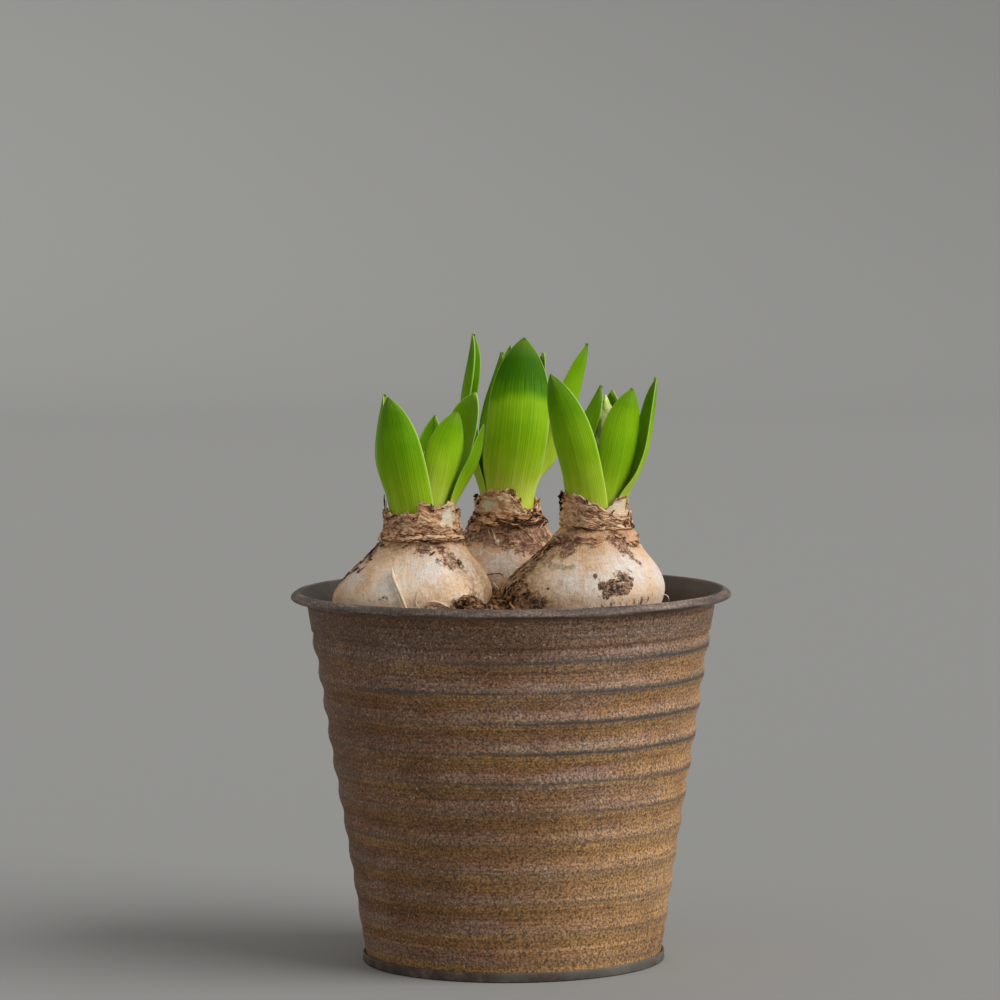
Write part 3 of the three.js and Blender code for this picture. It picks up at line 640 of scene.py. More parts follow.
def bulb_material(which, bulb):
    """Dry bulb skin: satin cream with fine veins from root to neck, worn chalky, with torn old layers."""
    made, add, place = new_material("dry_bulb_skin_" + which, {
        "Roughness": 0.62, "IOR": 1.45, "Specular IOR Level": 0.3, "Subsurface Weight": 0.1,
        "Subsurface Radius": (1.0, 0.6, 0.35), "Subsurface Scale": 2 * MM})
    centred = add("VectorMath", place, Vector(bulb["at"]) * MM, operation="SUBTRACT")
    rise = add("SeparateXYZ", centred, out="Z")
    around = add("VectorMath", centred, (1, 1, 0), operation="MULTIPLY")
    around = add("VectorMath", around, operation="NORMALIZE")
    # Veins are about 0.8 mm apart at the bulb's widest and meet at the neck.
    upright = add("CombineXYZ", None, None, add("Math", rise, 12, operation="MULTIPLY"))
    veins = add("TexNoise", add("VectorMath", around, upright, operation="ADD"), 20, 7, 0.68)
    # Tone changes in patches about 10 mm across, and in blotches of 2 mm.
    tone = add("TexNoise", place, 90, 8, 0.68)
    skin = add("ValToRGB", tone, stops=[(0.3, "#e2b98f"), (0.72, "#fff6ea"), (0.43, "#f5d6b3"),
                                        (0.54, "#fcead3")])
    vein_shade = add("ValToRGB", veins, stops=[(0.3, 0.36), (0.72, 0.62), (0.5, 0.51)])
    skin = add("Mix", 0.22, skin, vein_shade, **OVERLAY)
    mottle = add("TexNoise", place, 560, 6, 0.7)
    mottle_shade = add("ValToRGB", mottle, stops=[(0.34, 0.28), (0.66, 0.74), (0.5, 0.54)])
    skin = add("Mix", 0.6, skin, mottle_shade, **OVERLAY)
    blush = add("TexNoise", place, 55, 3)
    skin = washed(add, skin, colour("#eec8ac"), 0.4, blush, 0.45, 0.7)
    # The tint includes painted light on the left bulb's shaded side.
    skin = add("Mix", 1.0, skin, colour(TINTS_AND_PAINTED_LIGHT[which]), **MULTIPLY)
    # Scabs and specks, more of them low down where soil has stuck.
    specks = add("TexNoise", place, 620, 6, 0.78)
    soiled = add("MapRange", rise, -0.004, 0.008, 0.055, 0.0)
    skin = washed(add, skin, colour("#7b563c"), 0.8, specks, 0.62, 0.68, [(soiled, 1.0)])
    # The skin browns towards the neck, and hair-thin wrinkles wander over it.
    skin = washed(add, skin, colour("#ecb786"), 0.6, rise, 0.02, 0.031, [(tone, 0.016)], MULTIPLY)
    skin = wrinkled(add, skin, colour("#b8916c"), 0.6, add("TexNoise", place, 150, 6, 0.62), 0.012, OVER)
    # It is creased like paper, in folds about 4 mm apart, with finer crumples between them.
    creased = add("TexNoise", place, 240, 7, 0.7, None, 0.4)
    relief = add("Math", creased, 1.6, veins, operation="MULTIPLY_ADD")
    flat = add("Mapping", place, None, None, (1, 1, 2))
    fibre = add("TexNoise", flat, 460, 7, 0.72)
    fibre = add("Math", fibre, 0.7, operation="MULTIPLY")
    fibre = add("Math", veins, 0.3, fibre, operation="MULTIPLY_ADD")
    bits = add("TexNoise", place, 820, 5, 0.7)
    for kind, spots in CLINGING[which].items():
        rag, soft, broken, share, lift, dark_rim, dark, light = CLINGS[kind]
        within = spotted(add, place, spots, rag)
        mask = add("MapRange", within, -soft * MM, soft * MM)
        if broken:
            kept = add("MapRange", bits, broken - 0.03, broken + 0.06)
            mask = add("Math", mask, kept, operation="MULTIPLY")
        tint = add("ValToRGB", fibre, stops=[(0.455, dark), (0.56, light)])
        if dark_rim:
            rim = add("MapRange", within, 0.2 * MM, 0.9 * MM, dark_rim, 0.0)
            tint = add("Mix", rim, tint, colour("#6b4c38"), **MULTIPLY)
        skin = add("Mix", add("Math", mask, share, operation="MULTIPLY"), skin, tint, **OVER)
        relief = add("Math", mask, lift, relief, operation="MULTIPLY_ADD")
    return surfaced(made, skin, relief, 0.4)


for which, bulb in BULBS.items():
    add_piece("bulb_skin_" + which, bulb_body(bulb), bulb_material(which, bulb), "bulb_skin", "bulb_" + which)


# Husks
# The withered tips of the outer scales dry to crumpled brown paper round each neck. They lie over each other
# in torn layers, with the ragged ends upwards against the leaves.

# Each husk: its length, the seed of its creases, its layers' thickness, its tone and how much painted shade
# darkens its foot where it meets the bulb.
HUSKS = {
    "left": dict(length=10, seed=1.3, thick=0.5, tone=0.06, painted_shade_at_foot=0.06),
    "middle": dict(length=8.7, seed=4.1, thick=0.25, tone=0.1, painted_shade_at_foot=0.24),
    "right": dict(length=12.2, seed=2.2, thick=0.3, tone=0.08, painted_shade_at_foot=0.05),
}
HUSK_SIDES = 240
HUSK_LAYERS = 2
# How high each husk's torn edge stands over the bulb's widest level, by degrees round the neck.
HUSK_EDGES = {
    "left": [(0, 28.5), (60, 31), (120, 30), (212, 29.5), (262, 29.9), (267, 33.2), (284, 32.2), (300, 31.9),
             (316, 33.2), (327, 32.6), (338, 30.2), (360, 28.5)],
    "middle": [(0, 27), (60, 30), (150, 29.5), (208, 29), (221, 32), (251, 32), (278, 32.6), (290, 29.2),
               (301, 26.1), (312, 24.9), (335, 26), (360, 27)],
    "right": [(0, 28), (60, 32), (150, 33), (196, 35), (242, 34.6), (247, 33.3), (268, 31.9), (282, 29.6),
              (312, 27.6), (336, 26.8), (360, 28)],
}
# The same for the pale inner scale.
SCALE_EDGES = {
    "left": [(0, 29), (180, 28), (300, 29), (330, 30.5), (360, 29)],
    "middle": [(0, 25), (60, 27), (250, 27), (290, 25), (320, 24.4), (360, 25)],
    "right": [(0, 29), (180, 29), (285, 29), (297, 31), (307, 33.2), (322, 34), (338, 32.2), (360, 29)],
}
# Where outer layers are torn open over the pale scale: degrees, height, and half the hole's size in both.
WINDOWS = {"left": (316, 28.4, 15, 3.6), "middle": (234, 27.2, 19, 2.2)}


def between(stops, at):
    """The value at a place between (place, value) pairs, smoothly blended."""
    for (start, first), (end, last) in zip(stops, stops[1:]):
        if at <= end:
            return blend(first, last, smooth((at - start) / (end - start)))
    return stops[-1][1]


def torn_open(which, degrees, rise):
    """From 0 where the husk is whole to 1 in the middle of its window."""
    if which not in WINDOWS:
        return 0
    window_turn, window_rise, half_turn, half_rise = WINDOWS[which]
    across, up = (degrees - window_turn) / half_turn, (rise - window_rise) / half_rise
    ragged = 0.9 * noise.noise(Vector((across * 3, up * 1.6, window_rise)))
    return smooth((1 - across ** 2 - up ** 2 + ragged) * 3)


def collar(inner, thick, foot, length, rows, inner_rows, sides):
    """A thin upright ring, with its own count of rows of faces on either side."""
    outline = [(inner + thick, foot + length * i / rows) for i in range(rows + 1)]
    outline += [(inner, foot + length * (1 - i / inner_rows)) for i in range(inner_rows + 1)]
    return turned([*outline, outline[0]], sides)


def painted_foot_shade(which, rise):
    """How much painted shade darkens a husk at a height, for a few millimetres over its foot where it meets the
    bulb.
    """
    return HUSKS[which]["painted_shade_at_foot"] * smooth((NECK_RISE + 4.5 - rise) / 2.5)


def husk_layer(which, bulb, layer):
    """One torn layer: outer layers are shorter and stand further out."""
    form = HUSKS[which]
    inner = bulb["neck_radius"] + GAP + 0.3 * layer
    foot = NECK_RISE + bulb["bare"] - 0.6 * layer
    length = form["length"]
    bm = collar(inner, form["thick"], foot, length, 28, 6, HUSK_SIDES)
    tone = bm.verts.layers.float.new("tone")
    x, y, z = bulb["neck"][0], bulb["neck"][1], bulb["at"][2]
    shoulder = BULB_OUTLINE[-1][0] * bulb["radius"] - bulb["neck_radius"] - GAP
    for vert in bm.verts:
        round_at, radius, around = polar(vert.co)
        degrees = math.degrees(round_at) % 360
        rise = (vert.co.z - foot) / length
        shift = Vector((form["seed"] * 7, layer * 3.1, 0))
        crease = noise.fractal(around * 2.2 + Vector((0, 0, rise * 4)) + shift, 0.7, 2.2, 4)
        ruck = noise.noise(around * 4 + Vector((0, 0, rise * 11 + 3 * noise.noise(around * 3))) + shift)
        rags = 1.1 * noise.fractal(around * 6 + shift, 0.7, 2.2, 3) + 0.3 * noise.noise(around * 34 + shift)
        top = between(HUSK_EDGES[which], degrees) - 0.2 * layer * length
        height = foot + rise * (top - foot + rags * rise)
        hole = torn_open(which, degrees, height)
        outside = 1 if radius > inner + 0.1 else 0
        radius += outside * ((0.5 * crease + 0.65 * ruck) * (1 - 0.8 * hole) - 0.5 * hole) + 0.2 * rise * rise
        # Its foot flares over the bulb's shoulder.
        radius += outside * shoulder * max(0, 1 - (height - foot + bulb["bare"]) / 5) ** 2
        radius = max(radius, bulb["neck_radius"] + 0.1 + outside * 0.15)
        sag = 0.5 * noise.noise(around * 3 + shift) * (1 - rise)
        # The tone follows the creases and rucks, lighter where the layer bulges out and darker where it folds
        # in, as painted shade; the torn top edge is paler as a painted highlight, and torn-open windows are
        # pale tissue.
        vert[tone] = form["tone"] + 0.14 * ruck + 0.12 * crease + (0.12 if rise > 0.97 else 0) + 0.36 * hole
        vert[tone] -= painted_foot_shade(which, height)
        vert.co = Vector((x + radius * around.x, y + radius * around.y, z + height + sag))
    return bm


def flake(bm, bulb, turn, rise, long, tall, shade, draw, slant=0.0, lift=0.4, curl=1.0, rag=1.1):
    """A torn scrap of dry skin that lies round the neck or on the bulb, with its edges curled off."""
    tone = bm.verts.layers.float["tone"]
    made = bmesh.ops.create_grid(bm, x_segments=22 if long > 5 else 12, y_segments=4, size=1)["verts"]
    faces = list({face for vert in made for face in vert.link_faces})
    raised = bmesh.ops.extrude_face_region(bm, geom=faces, use_keep_orig=True)["geom"]
    raised = [item for item in raised if isinstance(item, bmesh.types.BMVert)]
    bmesh.ops.translate(bm, vec=(0, 0, 1), verts=raised)
    made += raised
    seed = Vector((draw.uniform(0, 90), draw.uniform(0, 90), draw.uniform(0, 90)))
    bend = draw.uniform(-0.5, 0.5)
    for vert in made:
        u, v, layer = vert.co
        ragged = 0.75 + rag * noise.noise(Vector((u * long * 0.7, v * 1.2, 0)) + seed)
        narrow = (1 - 0.94 * abs(u) ** 3) * max(0.15, ragged)
        along = u * long / 2 * (1 + 0.2 * noise.noise(Vector((0, v * 2.5, 3)) + seed))
        wander = 0.4 * noise.noise(Vector((u * long * 0.25, 0, 7)) + seed)
        up = v * narrow * tall / 2 + bend * u * u * tall + wander
        along, up = (along * math.cos(slant) - up * math.sin(slant),
                     along * math.sin(slant) + up * math.cos(slant))
        at_rise = rise + up
        share = min(1, at_rise / NECK_RISE)
        middle = Vector(bulb["at"]).lerp(Vector((*bulb["neck"], bulb["at"][2])), share)
        edge = max(abs(v), abs(u)) ** 3
        curled = curl * edge * (0.5 + noise.noise(seed + Vector((u, v, 0)) * 1.5))
        radius = skin_radius(bulb, at_rise) + lift + curled
        radius += 0.3 * noise.noise(Vector((u * 4, v * 2, 5)) + seed) + 0.14 * layer
        round_at = turn + along / radius
        vert.co = middle + Vector((radius * math.cos(round_at), radius * math.sin(round_at), at_rise))
        # Its edges are a little paler, as a painted highlight.
        vert[tone] = shade + 0.04 * edge + 0.08 * noise.noise(Vector((u * 4, v * 4, 9)) + seed)
    bmesh.ops.recalc_face_normals(bm, faces=list({face for vert in made for face in vert.link_faces}))


# Scraps that the photograph's side shows, listed one by one: degrees round the neck, height over the bulb's
# widest level, length, height, tone, slant in degrees, lift and curl.
SCRAPS = {
    "left": [(186, 31.6, 7.5, 0.8, -0.26, 87, 0.9, 0.3), (192, 30.4, 6, 1.1, 0.26, 86, 0.5, 0.3),
             (320, 32.8, 5, 1, 0.12, 18, 1.1, 0.9), (273, 33.2, 5, 1.1, 0.1, -20, 1, 0.7),
             (296, 31.8, 5, 1, 0.14, 4, 1, 0.6), (348, 27.2, 7, 1.5, -0.04, 80, 0.9, 0.6),
             (262, 21.2, 12, 0.7, -0.28, -3, 0.7, 0.2), (292, 20.8, 10, 0.6, -0.26, 3, 0.7, 0.2),
             (238, 25.8, 4.5, 2, 0.2, 10, 1, 0.4), (265, 22.8, 6, 2.1, -0.18, 5, 0.9, 0.3),
             (300, 24.4, 9, 1, 0.14, -8, 0.9, 0.4), (322, 24, 8, 0.8, -0.02, 50, 0.9, 0.4),
             (285, 17, 2.6, 0.8, -0.2, 20, 0.2, 0.3)],
    "middle": [(200, 29.6, 2.6, 0.9, -0.25, 60, 1, 1.2), (206, 27.6, 2.4, 1, -0.2, 30, 0.9, 0.8),
               (327, 25.8, 3.6, 1.2, -0.04, 82, 0.8, 0.8), (250, 31.4, 9, 1.1, 0.1, 0, 0.7, 0.4),
               (262, 29.4, 10, 0.8, 0.14, -12, 0.7, 0.3), (275, 27.6, 10, 0.8, 0.1, -18, 0.7, 0.3),
               (286, 25.8, 9, 0.7, 0.14, -18, 0.7, 0.3), (298, 24, 9, 0.8, 0.06, -12, 0.7, 0.3),
               (236, 21.6, 10, 1, 0, -7, 0.8, 0.2), (246, 20.5, 11, 0.7, -0.06, -7, 0.7, 0.2),
               (252, 17.4, 5, 0.5, 0.22, -52, 0.25, 0.2), (245, 17.8, 3, 0.45, 0.22, -56, 0.25, 0.2),
               (302, 16.4, 6, 0.6, 0.16, -58, 0.25, 0.3)],
    "right": [(197, 34.2, 3.2, 1.5, -0.28, 50, 0.9, 1), (195, 32, 3.4, 1.4, -0.3, 85, 0.9, 0.8),
              (199, 30, 3, 1.3, -0.28, 75, 0.9, 0.7), (315, 33.3, 4.6, 1, -0.08, 8, 0.9, 0.9),
              (338, 31.2, 4, 1.6, 0.1, 84, 0.4, 0.6), (324, 25.4, 4, 2, -0.2, 40, 1, 0.8),
              (344, 24.4, 3.4, 1.6, -0.25, 60, 1, 0.8), (268, 24, 11, 0.7, -0.1, -5, 0.7, 0.3),
              (250, 23.6, 9, 0.7, -0.24, -7, 0.7, 0.3), (262, 26.4, 9, 0.9, 0.18, -6, 0.8, 0.3),
              (300, 8.6, 2.4, 0.8, 0.06, 40, 0.15, 0.4), (299, 4.9, 3.6, 0.7, -0.05, -14, 0.12, 0.3),
              (307, 3.8, 4, 0.6, 0.1, 0, 0.12, 0.3)],
}
# Where bark-like old skin has scaled off: from and to in degrees, from and to in height over the widest level,
# and how many chips.
SCALED = {
    "left": [(168, 196, 6, 19, 22), (196, 214, 9, 16, 7)],
    "middle": [(170, 215, 8, 20, 12), (325, 365, 8, 20, 8)],
    "right": [(172, 212, 0, 19, 60), (205, 228, -3, 6, 14)],
}
# How many strips lie round each neck, stand on its torn edge, and hang over the shoulder.
STRIPS = 84
EDGE_SCRAPS = 34
SHOULDER_SCRAPS = 22


def scraps(which, bulb):
    """Torn strips all round the neck and over the shoulder, and the listed ones."""
    draw = random.Random(17 + len(which))
    bm = bmesh.new()
    bm.verts.layers.float.new("tone")
    edges, thick, lighter = HUSK_EDGES[which], HUSKS[which]["thick"], HUSKS[which]["tone"]
    for _ in range(STRIPS):
        degrees = draw.uniform(0, 360)
        long = draw.uniform(4, 14)
        rise = draw.uniform(NECK_RISE + bulb["bare"] - 0.8, between(edges, degrees) - 0.5)
        reach = math.degrees(0.4 * long / bulb["neck_radius"])
        whole = all(rise < between(edges, (degrees + side) % 360) + 0.2
                    and torn_open(which, (degrees + side) % 360, rise) < 0.4 for side in (-reach, 0, reach))
        if not whole:
            continue
        # Strips low on the neck take the painted shade at the husk's foot.
        flake(bm, bulb, math.radians(degrees), rise, long, draw.uniform(0.5, 1.5),
              lighter - painted_foot_shade(which, rise) + draw.uniform(-0.2, 0.18), draw, slant=draw.gauss(0, 0.14),
              lift=thick + draw.uniform(0.3, 0.7), curl=draw.uniform(0.05, 0.4), rag=0.6)
    for _ in range(EDGE_SCRAPS):
        degrees = draw.uniform(0, 360)
        flake(bm, bulb, math.radians(degrees), between(edges, degrees) + draw.uniform(-1.4, 0.1),
              draw.uniform(1.6, 3), draw.uniform(0.6, 1.3), draw.uniform(-0.2, 0.1), draw,
              slant=draw.gauss(1.3, 0.5), lift=thick + 0.5, curl=draw.uniform(0.2, 0.8))
    for _ in range(SHOULDER_SCRAPS):
        flake(bm, bulb, draw.uniform(0, math.tau), draw.uniform(17.5, NECK_RISE), draw.uniform(2.5, 7),
              draw.uniform(0.4, 0.9), draw.uniform(-0.2, 0.08), draw, slant=draw.gauss(0, 0.25), lift=0.2,
              curl=draw.uniform(0.05, 0.3), rag=0.7)
    for start, end, low, high, count in SCALED[which]:
        for _ in range(count):
            flake(bm, bulb, math.radians(draw.uniform(start, end)), draw.uniform(low, high),
                  draw.uniform(1, 3.2), draw.uniform(0.6, 1.5), draw.uniform(-0.3, 0.02), draw,
                  slant=draw.uniform(-1.5, 1.5), lift=0.12, curl=draw.uniform(0.1, 0.4))
    for turn, rise, long, tall, shade, slant, lift, curl in SCRAPS[which]:
        flake(bm, bulb, math.radians(turn), rise, long, tall, shade, draw, slant=math.radians(slant), lift=lift,
              curl=curl, rag=0.6)
    return bm


def inner_scale(which, bulb):
    """The pale, fleshy inner scale that wraps the leaves' feet, and shows where the husk is torn open."""
    inner = bulb["neck_radius"] - 0.62
    foot = NECK_RISE + 1.2
    length = HUSKS[which]["length"]
    bm = collar(inner, 0.35, foot, length, 20, 4, 160)
    tone = bm.verts.layers.float.new("tone")
    x, y, z = bulb["neck"][0], bulb["neck"][1], bulb["at"][2]
    for vert in bm.verts:
        round_at, radius, around = polar(vert.co)
        rise = (vert.co.z - foot) / length
        top = between(SCALE_EDGES[which], math.degrees(round_at) % 360)
        rags = 0.35 * noise.fractal(around * 9 + Vector((length, 0, 0)), 0.6, 2.2, 4)
        height = foot + rise * (top - foot + rags * rise)
        streak = noise.noise(around * 16 + Vector((0, 0, rise)))
        radius += 0.5 * rise * rise + 0.15 * streak
        vert[tone] = 0.3 + 0.1 * streak - 0.2 * smooth((rise - 0.9) / 0.1)
        vert.co = Vector((x + radius * around.x, y + radius * around.y, z + height))
    return bm


def husk_material():
    """Dead scale tissue like crumpled brown paper, pale where it is thin, and nearly black in the folds as
    painted shade.
    """
    made, add, place = new_material("dry_papery_husk", {
        "Roughness": 0.8, "IOR": 1.45, "Specular IOR Level": 0.25})
    flat = add("Mapping", place, None, None, (1, 1, 3.6))
    # Folds are about 1.5 mm apart, and fibres a quarter of that.
    folds = add("TexNoise", flat, 260, 8, 0.7, None, 0.5)
    tone = add("Attribute", attribute_name="tone", out="Fac")
    # The fold noise raises the tissue and colours it, darkest in its hollows, as painted shade.
    lit = add("Math", folds, tone, operation="ADD")
    shade = add("ValToRGB", lit, stops=[(0.25, "#2a1a10"), (1.0, "#ebe8d2"), (0.35, "#704b33"),
                                        (0.43, "#b88661"), (0.51, "#e2ab80"), (0.61, "#f3c69a"),
                                        (0.78, "#f0d8b6")])
    # Thin dark wrinkles wander level round the neck, partly dark tissue and partly painted shade in its
    # creases, and purple-brown clumps about 3 mm across darken it, partly its own colour and partly painted
    # shade of its crumples. Both are faint on pale tissue.
    share = add("MapRange", tone, 0.1, 0.25, 0.7, 0.1)
    shade = wrinkled(add, shade, colour("#6a4630"), share, add("TexNoise", flat, 150, 4, 0.55), 0.018, MULTIPLY)
    clumps = add("TexNoise", place, 330, 6, 0.75)
    shade = washed(add, shade, colour("#8a5c48"), share, clumps, 0.51, 0.62, layer=MULTIPLY)
    return surfaced(made, shade, folds, 0.5)


def joined(parts):
    """Several bmeshes as one."""
    whole = bmesh.new()
    for part in parts:
        held = bpy.data.meshes.new("part")
        part.to_mesh(held)
        part.free()
        whole.from_mesh(held)
        bpy.data.meshes.remove(held)
    return whole


husk_finish = husk_material()
for which, bulb in BULBS.items():
    parts = [husk_layer(which, bulb, layer) for layer in range(HUSK_LAYERS)]
    parts += [scraps(which, bulb), inner_scale(which, bulb)]
    add_piece("papery_husk_" + which, joined(parts), husk_finish, "husk", "husk_" + which)


# Roots
# Thin white roots and brown fibres have dried on the bulbs above the soil. They lie against the skin, and
# most run down into the soil.

# Each root: its bulb, its thickness, its tone, and points on the skin.
ROOTS = {
    "thick_root": ("left", 1.6, 0.34, [(-39.7, -31.9, 137.5), (-39.3, -34.5, 135.3), (-38.8, -36.4, 133.3),
                                       (-36.9, -39.6, 129.2), (-35.1, -40.8, 124.8), (-34, -41, 122)]),
    "looped_root": ("left", 0.4, 0.4, [(-30, -38.6, 132.2), (-31.3, -40.2, 128.8), (-31.7, -40.6, 127.2),
                                        (-31.5, -40.8, 125.6), (-29.6, -40.8, 123.4)]),
    "arched_root": ("left", 0.7, 0.42, [(-30.3, -40.7, 124.2), (-28.3, -40.9, 126), (-26.1, -41, 126.7),
                                       (-23.7, -40, 126), (-21.4, -39.2, 124.6), (-19.5, -38.2, 123)]),
    "fibre_west": ("left", 0.2, -0.1, [(-44.9, -37.7, 128), (-43, -38.6, 126.9), (-41.2, -39.3, 126.4)]),
    "fibre_east": ("left", 0.25, -0.15, [(-25.8, -39.6, 127.8), (-24.6, -39.5, 126.8), (-22.8, -39, 125.6)]),
    "fibre_crack": ("left", 0.2, -0.1, [(-17.6, -25.8, 140.4), (-16.9, -27.3, 138.4), (-15.2, -28.3, 136.4)]),
    "brown_fibre": ("middle", 0.45, -0.16, [(-9.4, 9.8, 131.6), (-8.1, 9.1, 130.9), (-5.3, 8.6, 131.3),
                                            (-3, 8.1, 131), (-2.4, 7.5, 129.2)]),
    "short_root": ("middle", 1.1, 0.36, [(-5.9, 7.6, 128.8), (-5.4, 7, 127.4), (-4.2, 6.6, 126.2),
                                         (-2.6, 6, 123.6)]),
    "curled_root": ("right", 0.45, 0.3, [(48.6, -31, 125.6), (50.2, -29.8, 127.2), (52, -28.6, 126.8),
                                         (52.8, -28, 124.8)]),
    "rim_fibre": ("right", 0.2, 0.05, [(36.2, -41.6, 126.4), (36.6, -41.2, 124.8), (36.8, -41, 122.6)]),
}


def root(bm, bulb, thick, shade, points):
    """A tapered tube, rolled from a grid, that stands just off the skin."""
    tone = bm.verts.layers.float["tone"]
    axis = Vector(bulb["at"])
    lifted = []
    for point in points:
        point = Vector(point)
        off = point - axis
        lifted.append(point + off.normalized() * thick * 0.6)
    spine = through(lifted, 5)
    rows = len(spine) - 1
    made = bmesh.ops.create_grid(bm, x_segments=8, y_segments=rows, size=1)["verts"]
    for vert in made:
        turn = math.pi * vert.co.x
        row = round((vert.co.y + 1) / 2 * rows)
        ahead = (spine[min(rows, row + 1)] - spine[max(0, row - 1)]).normalized()
        side = ahead.cross(Vector((0.2, 0.3, 1))).normalized()
        over = side.cross(ahead)
        taper = min(1, 4 * row / rows, 4 * (rows - row) / rows)
        girth = thick * taper * (0.8 + 0.5 * noise.noise(spine[row] * 0.9))
        vert[tone] = shade + 0.06 * noise.noise(spine[row] * 2)
        vert.co = spine[row] + (side * math.cos(turn) + over * math.sin(turn)) * girth / 2
    bmesh.ops.remove_doubles(bm, verts=made, dist=1e-4)


root_bm = bmesh.new()
root_bm.verts.layers.float.new("tone")
for bulb_name, thick, shade, points in ROOTS.values():
    root(root_bm, BULBS[bulb_name], thick, shade, points)
bmesh.ops.recalc_face_normals(root_bm, faces=root_bm.faces)
add_piece("dried_roots", root_bm, husk_finish, "husk")


# Leaves
# Thick, fleshy, strap-shaped blades that stand round the bud in two rings. Each is a trough with a hooded
# tip, glossy green outside, darker inside as painted shade in the trough, and pale where it comes out of the
# bulb.

LEAF_THICKNESS = 1.9
MARGIN_THICKNESS = 0.7
THROAT_RISE = 7
FOOT_WIDTH = 0.95
BLADE_ACROSS = 20
BLADE_ALONG = 64
RINGS = {"outer": 1.25, "inner": 3.6}
# Each leaf, in millimetres from its own neck's centre line: the ring that its foot stands in, its direction
# round the neck in degrees, the middle and the tip of its back (x, y, and height above the table), the
# direction that its back faces, its width, the share of its length where it is widest, and half the angle of
# its trough.
LEAVES = {
    "left": {
        "front": ("outer", 242, (-8.3, -12.2, 172), (-11, -9.5, 193.8), 247, 20.2, 0.42, 50),
        "behind_left": ("outer", 152, (-15.4, 4.6, 172), (-12.8, 2.5, 194.2), 165, 14, 0.55, 55),
        "back": ("inner", 95, (1.4, 9.6, 169), (4.6, 9, 186.6), 95, 12, 0.45, 50),
        "front_right": ("inner", 308, (8.6, -8.8, 171), (12.2, -8.6, 188.9), 300, 17, 0.52, 50),
        "back_right": ("outer", 55, (12.8, 8.6, 171), (18.6, 9, 194.2), 48, 16, 0.68, 52),
        "right": ("outer", 350, (19.2, -3.8, 172.5), (21.4, -4, 184), 335, 9.8, 0.5, 42),
    },
    "middle": {
        "front": ("outer", 272, (3.8, -13, 180), (6.2, -5.5, 211.2), 272, 24.4, 0.58, 50),
        "left_inner": ("inner", 205, (-9.4, -2.6, 178), (-2, -1.4, 206.2), 200, 15, 0.55, 52),
        "left": ("outer", 172, (-16.1, 1.6, 182), (-11.8, 2, 212.4), 169, 16.4, 0.7, 68),
        "back_right": ("inner", 35, (11.4, 5.4, 180), (13.2, 5, 205.4), 35, 14.5, 0.6, 52),
        "right": ("outer", 8, (18.7, 0.6, 178.9), (28.4, 2, 208.6), 312, 11.5, 0.5, 42),
        "back": ("outer", 95, (-0.6, 12.8, 180), (1.4, 9.5, 207.8), 95, 15, 0.5, 50),
    },
    "right": {
        "front_left": ("outer", 250, (-7.4, -12.8, 176), (-15.1, -13, 201.4), 250, 16.2, 0.48, 46),
        "left_inner": ("inner", 195, (-7.6, -2.4, 176), (1.8, 0, 197), 205, 15, 0.55, 52),
        "front_right": ("inner", 308, (8.7, -9.4, 174), (12.5, -9, 196.2), 300, 17, 0.58, 50),
        "right": ("outer", 350, (17.7, -1, 175.5), (21.1, -1, 199.4), 18, 14, 0.55, 56),
        "back_inner": ("inner", 60, (6.4, 8.2, 174), (6.2, 6, 195), 60, 14, 0.55, 52),
        "back": ("outer", 128, (-8, 10.4, 168), (-7, 10.6, 184), 125, 13, 0.45, 52),
    },
}
# How much paler than the usual green a leaf is, at shares of its length from its foot: partly each leaf's own
# tone, partly painted light and shade. The middle bulb's front leaf has a pale band as a painted highlight and
# a darker hooded top as a painted reflection.
PALER_AND_PAINTED_LIGHT = {
    "left": {"front": [(0.5, -0.15), (0.9, 0.3)], "front_right": [(0.5, 0.72), (0.9, 0.6)],
             "back": [(0.5, 0.5), (0.9, 0.5)], "right": [(0.5, 0.35), (0.9, 0.25)],
             "behind_left": [(0.5, 0.5), (0.9, 0.5)], "back_right": [(0.5, 1.05), (0.9, 1.05)]},
    "middle": {"front": [(0.14, 0.45), (0.42, -0.02), (0.58, 0.34), (0.64, 0.46), (0.71, -0.45), (0.88, -0.5),
                         (1, 0.2)],
               "right": [(0.5, 0.5), (0.9, 0.5)], "left": [(0.5, 0.15), (0.9, 0.3)],
               "left_inner": [(0.5, 0.4), (0.9, 0.3)]},
    "right": {"front_left": [(0.5, 0.28), (0.9, 0.1)], "front_right": [(0.5, 0.22), (0.9, 0.7)],
              "right": [(0.5, 0.4), (0.9, 0.5)], "left_inner": [(0.5, 0.4), (0.9, 0.45)]},
}
EVEN_GREEN = [(0, 0.1), (1, 0.1)]


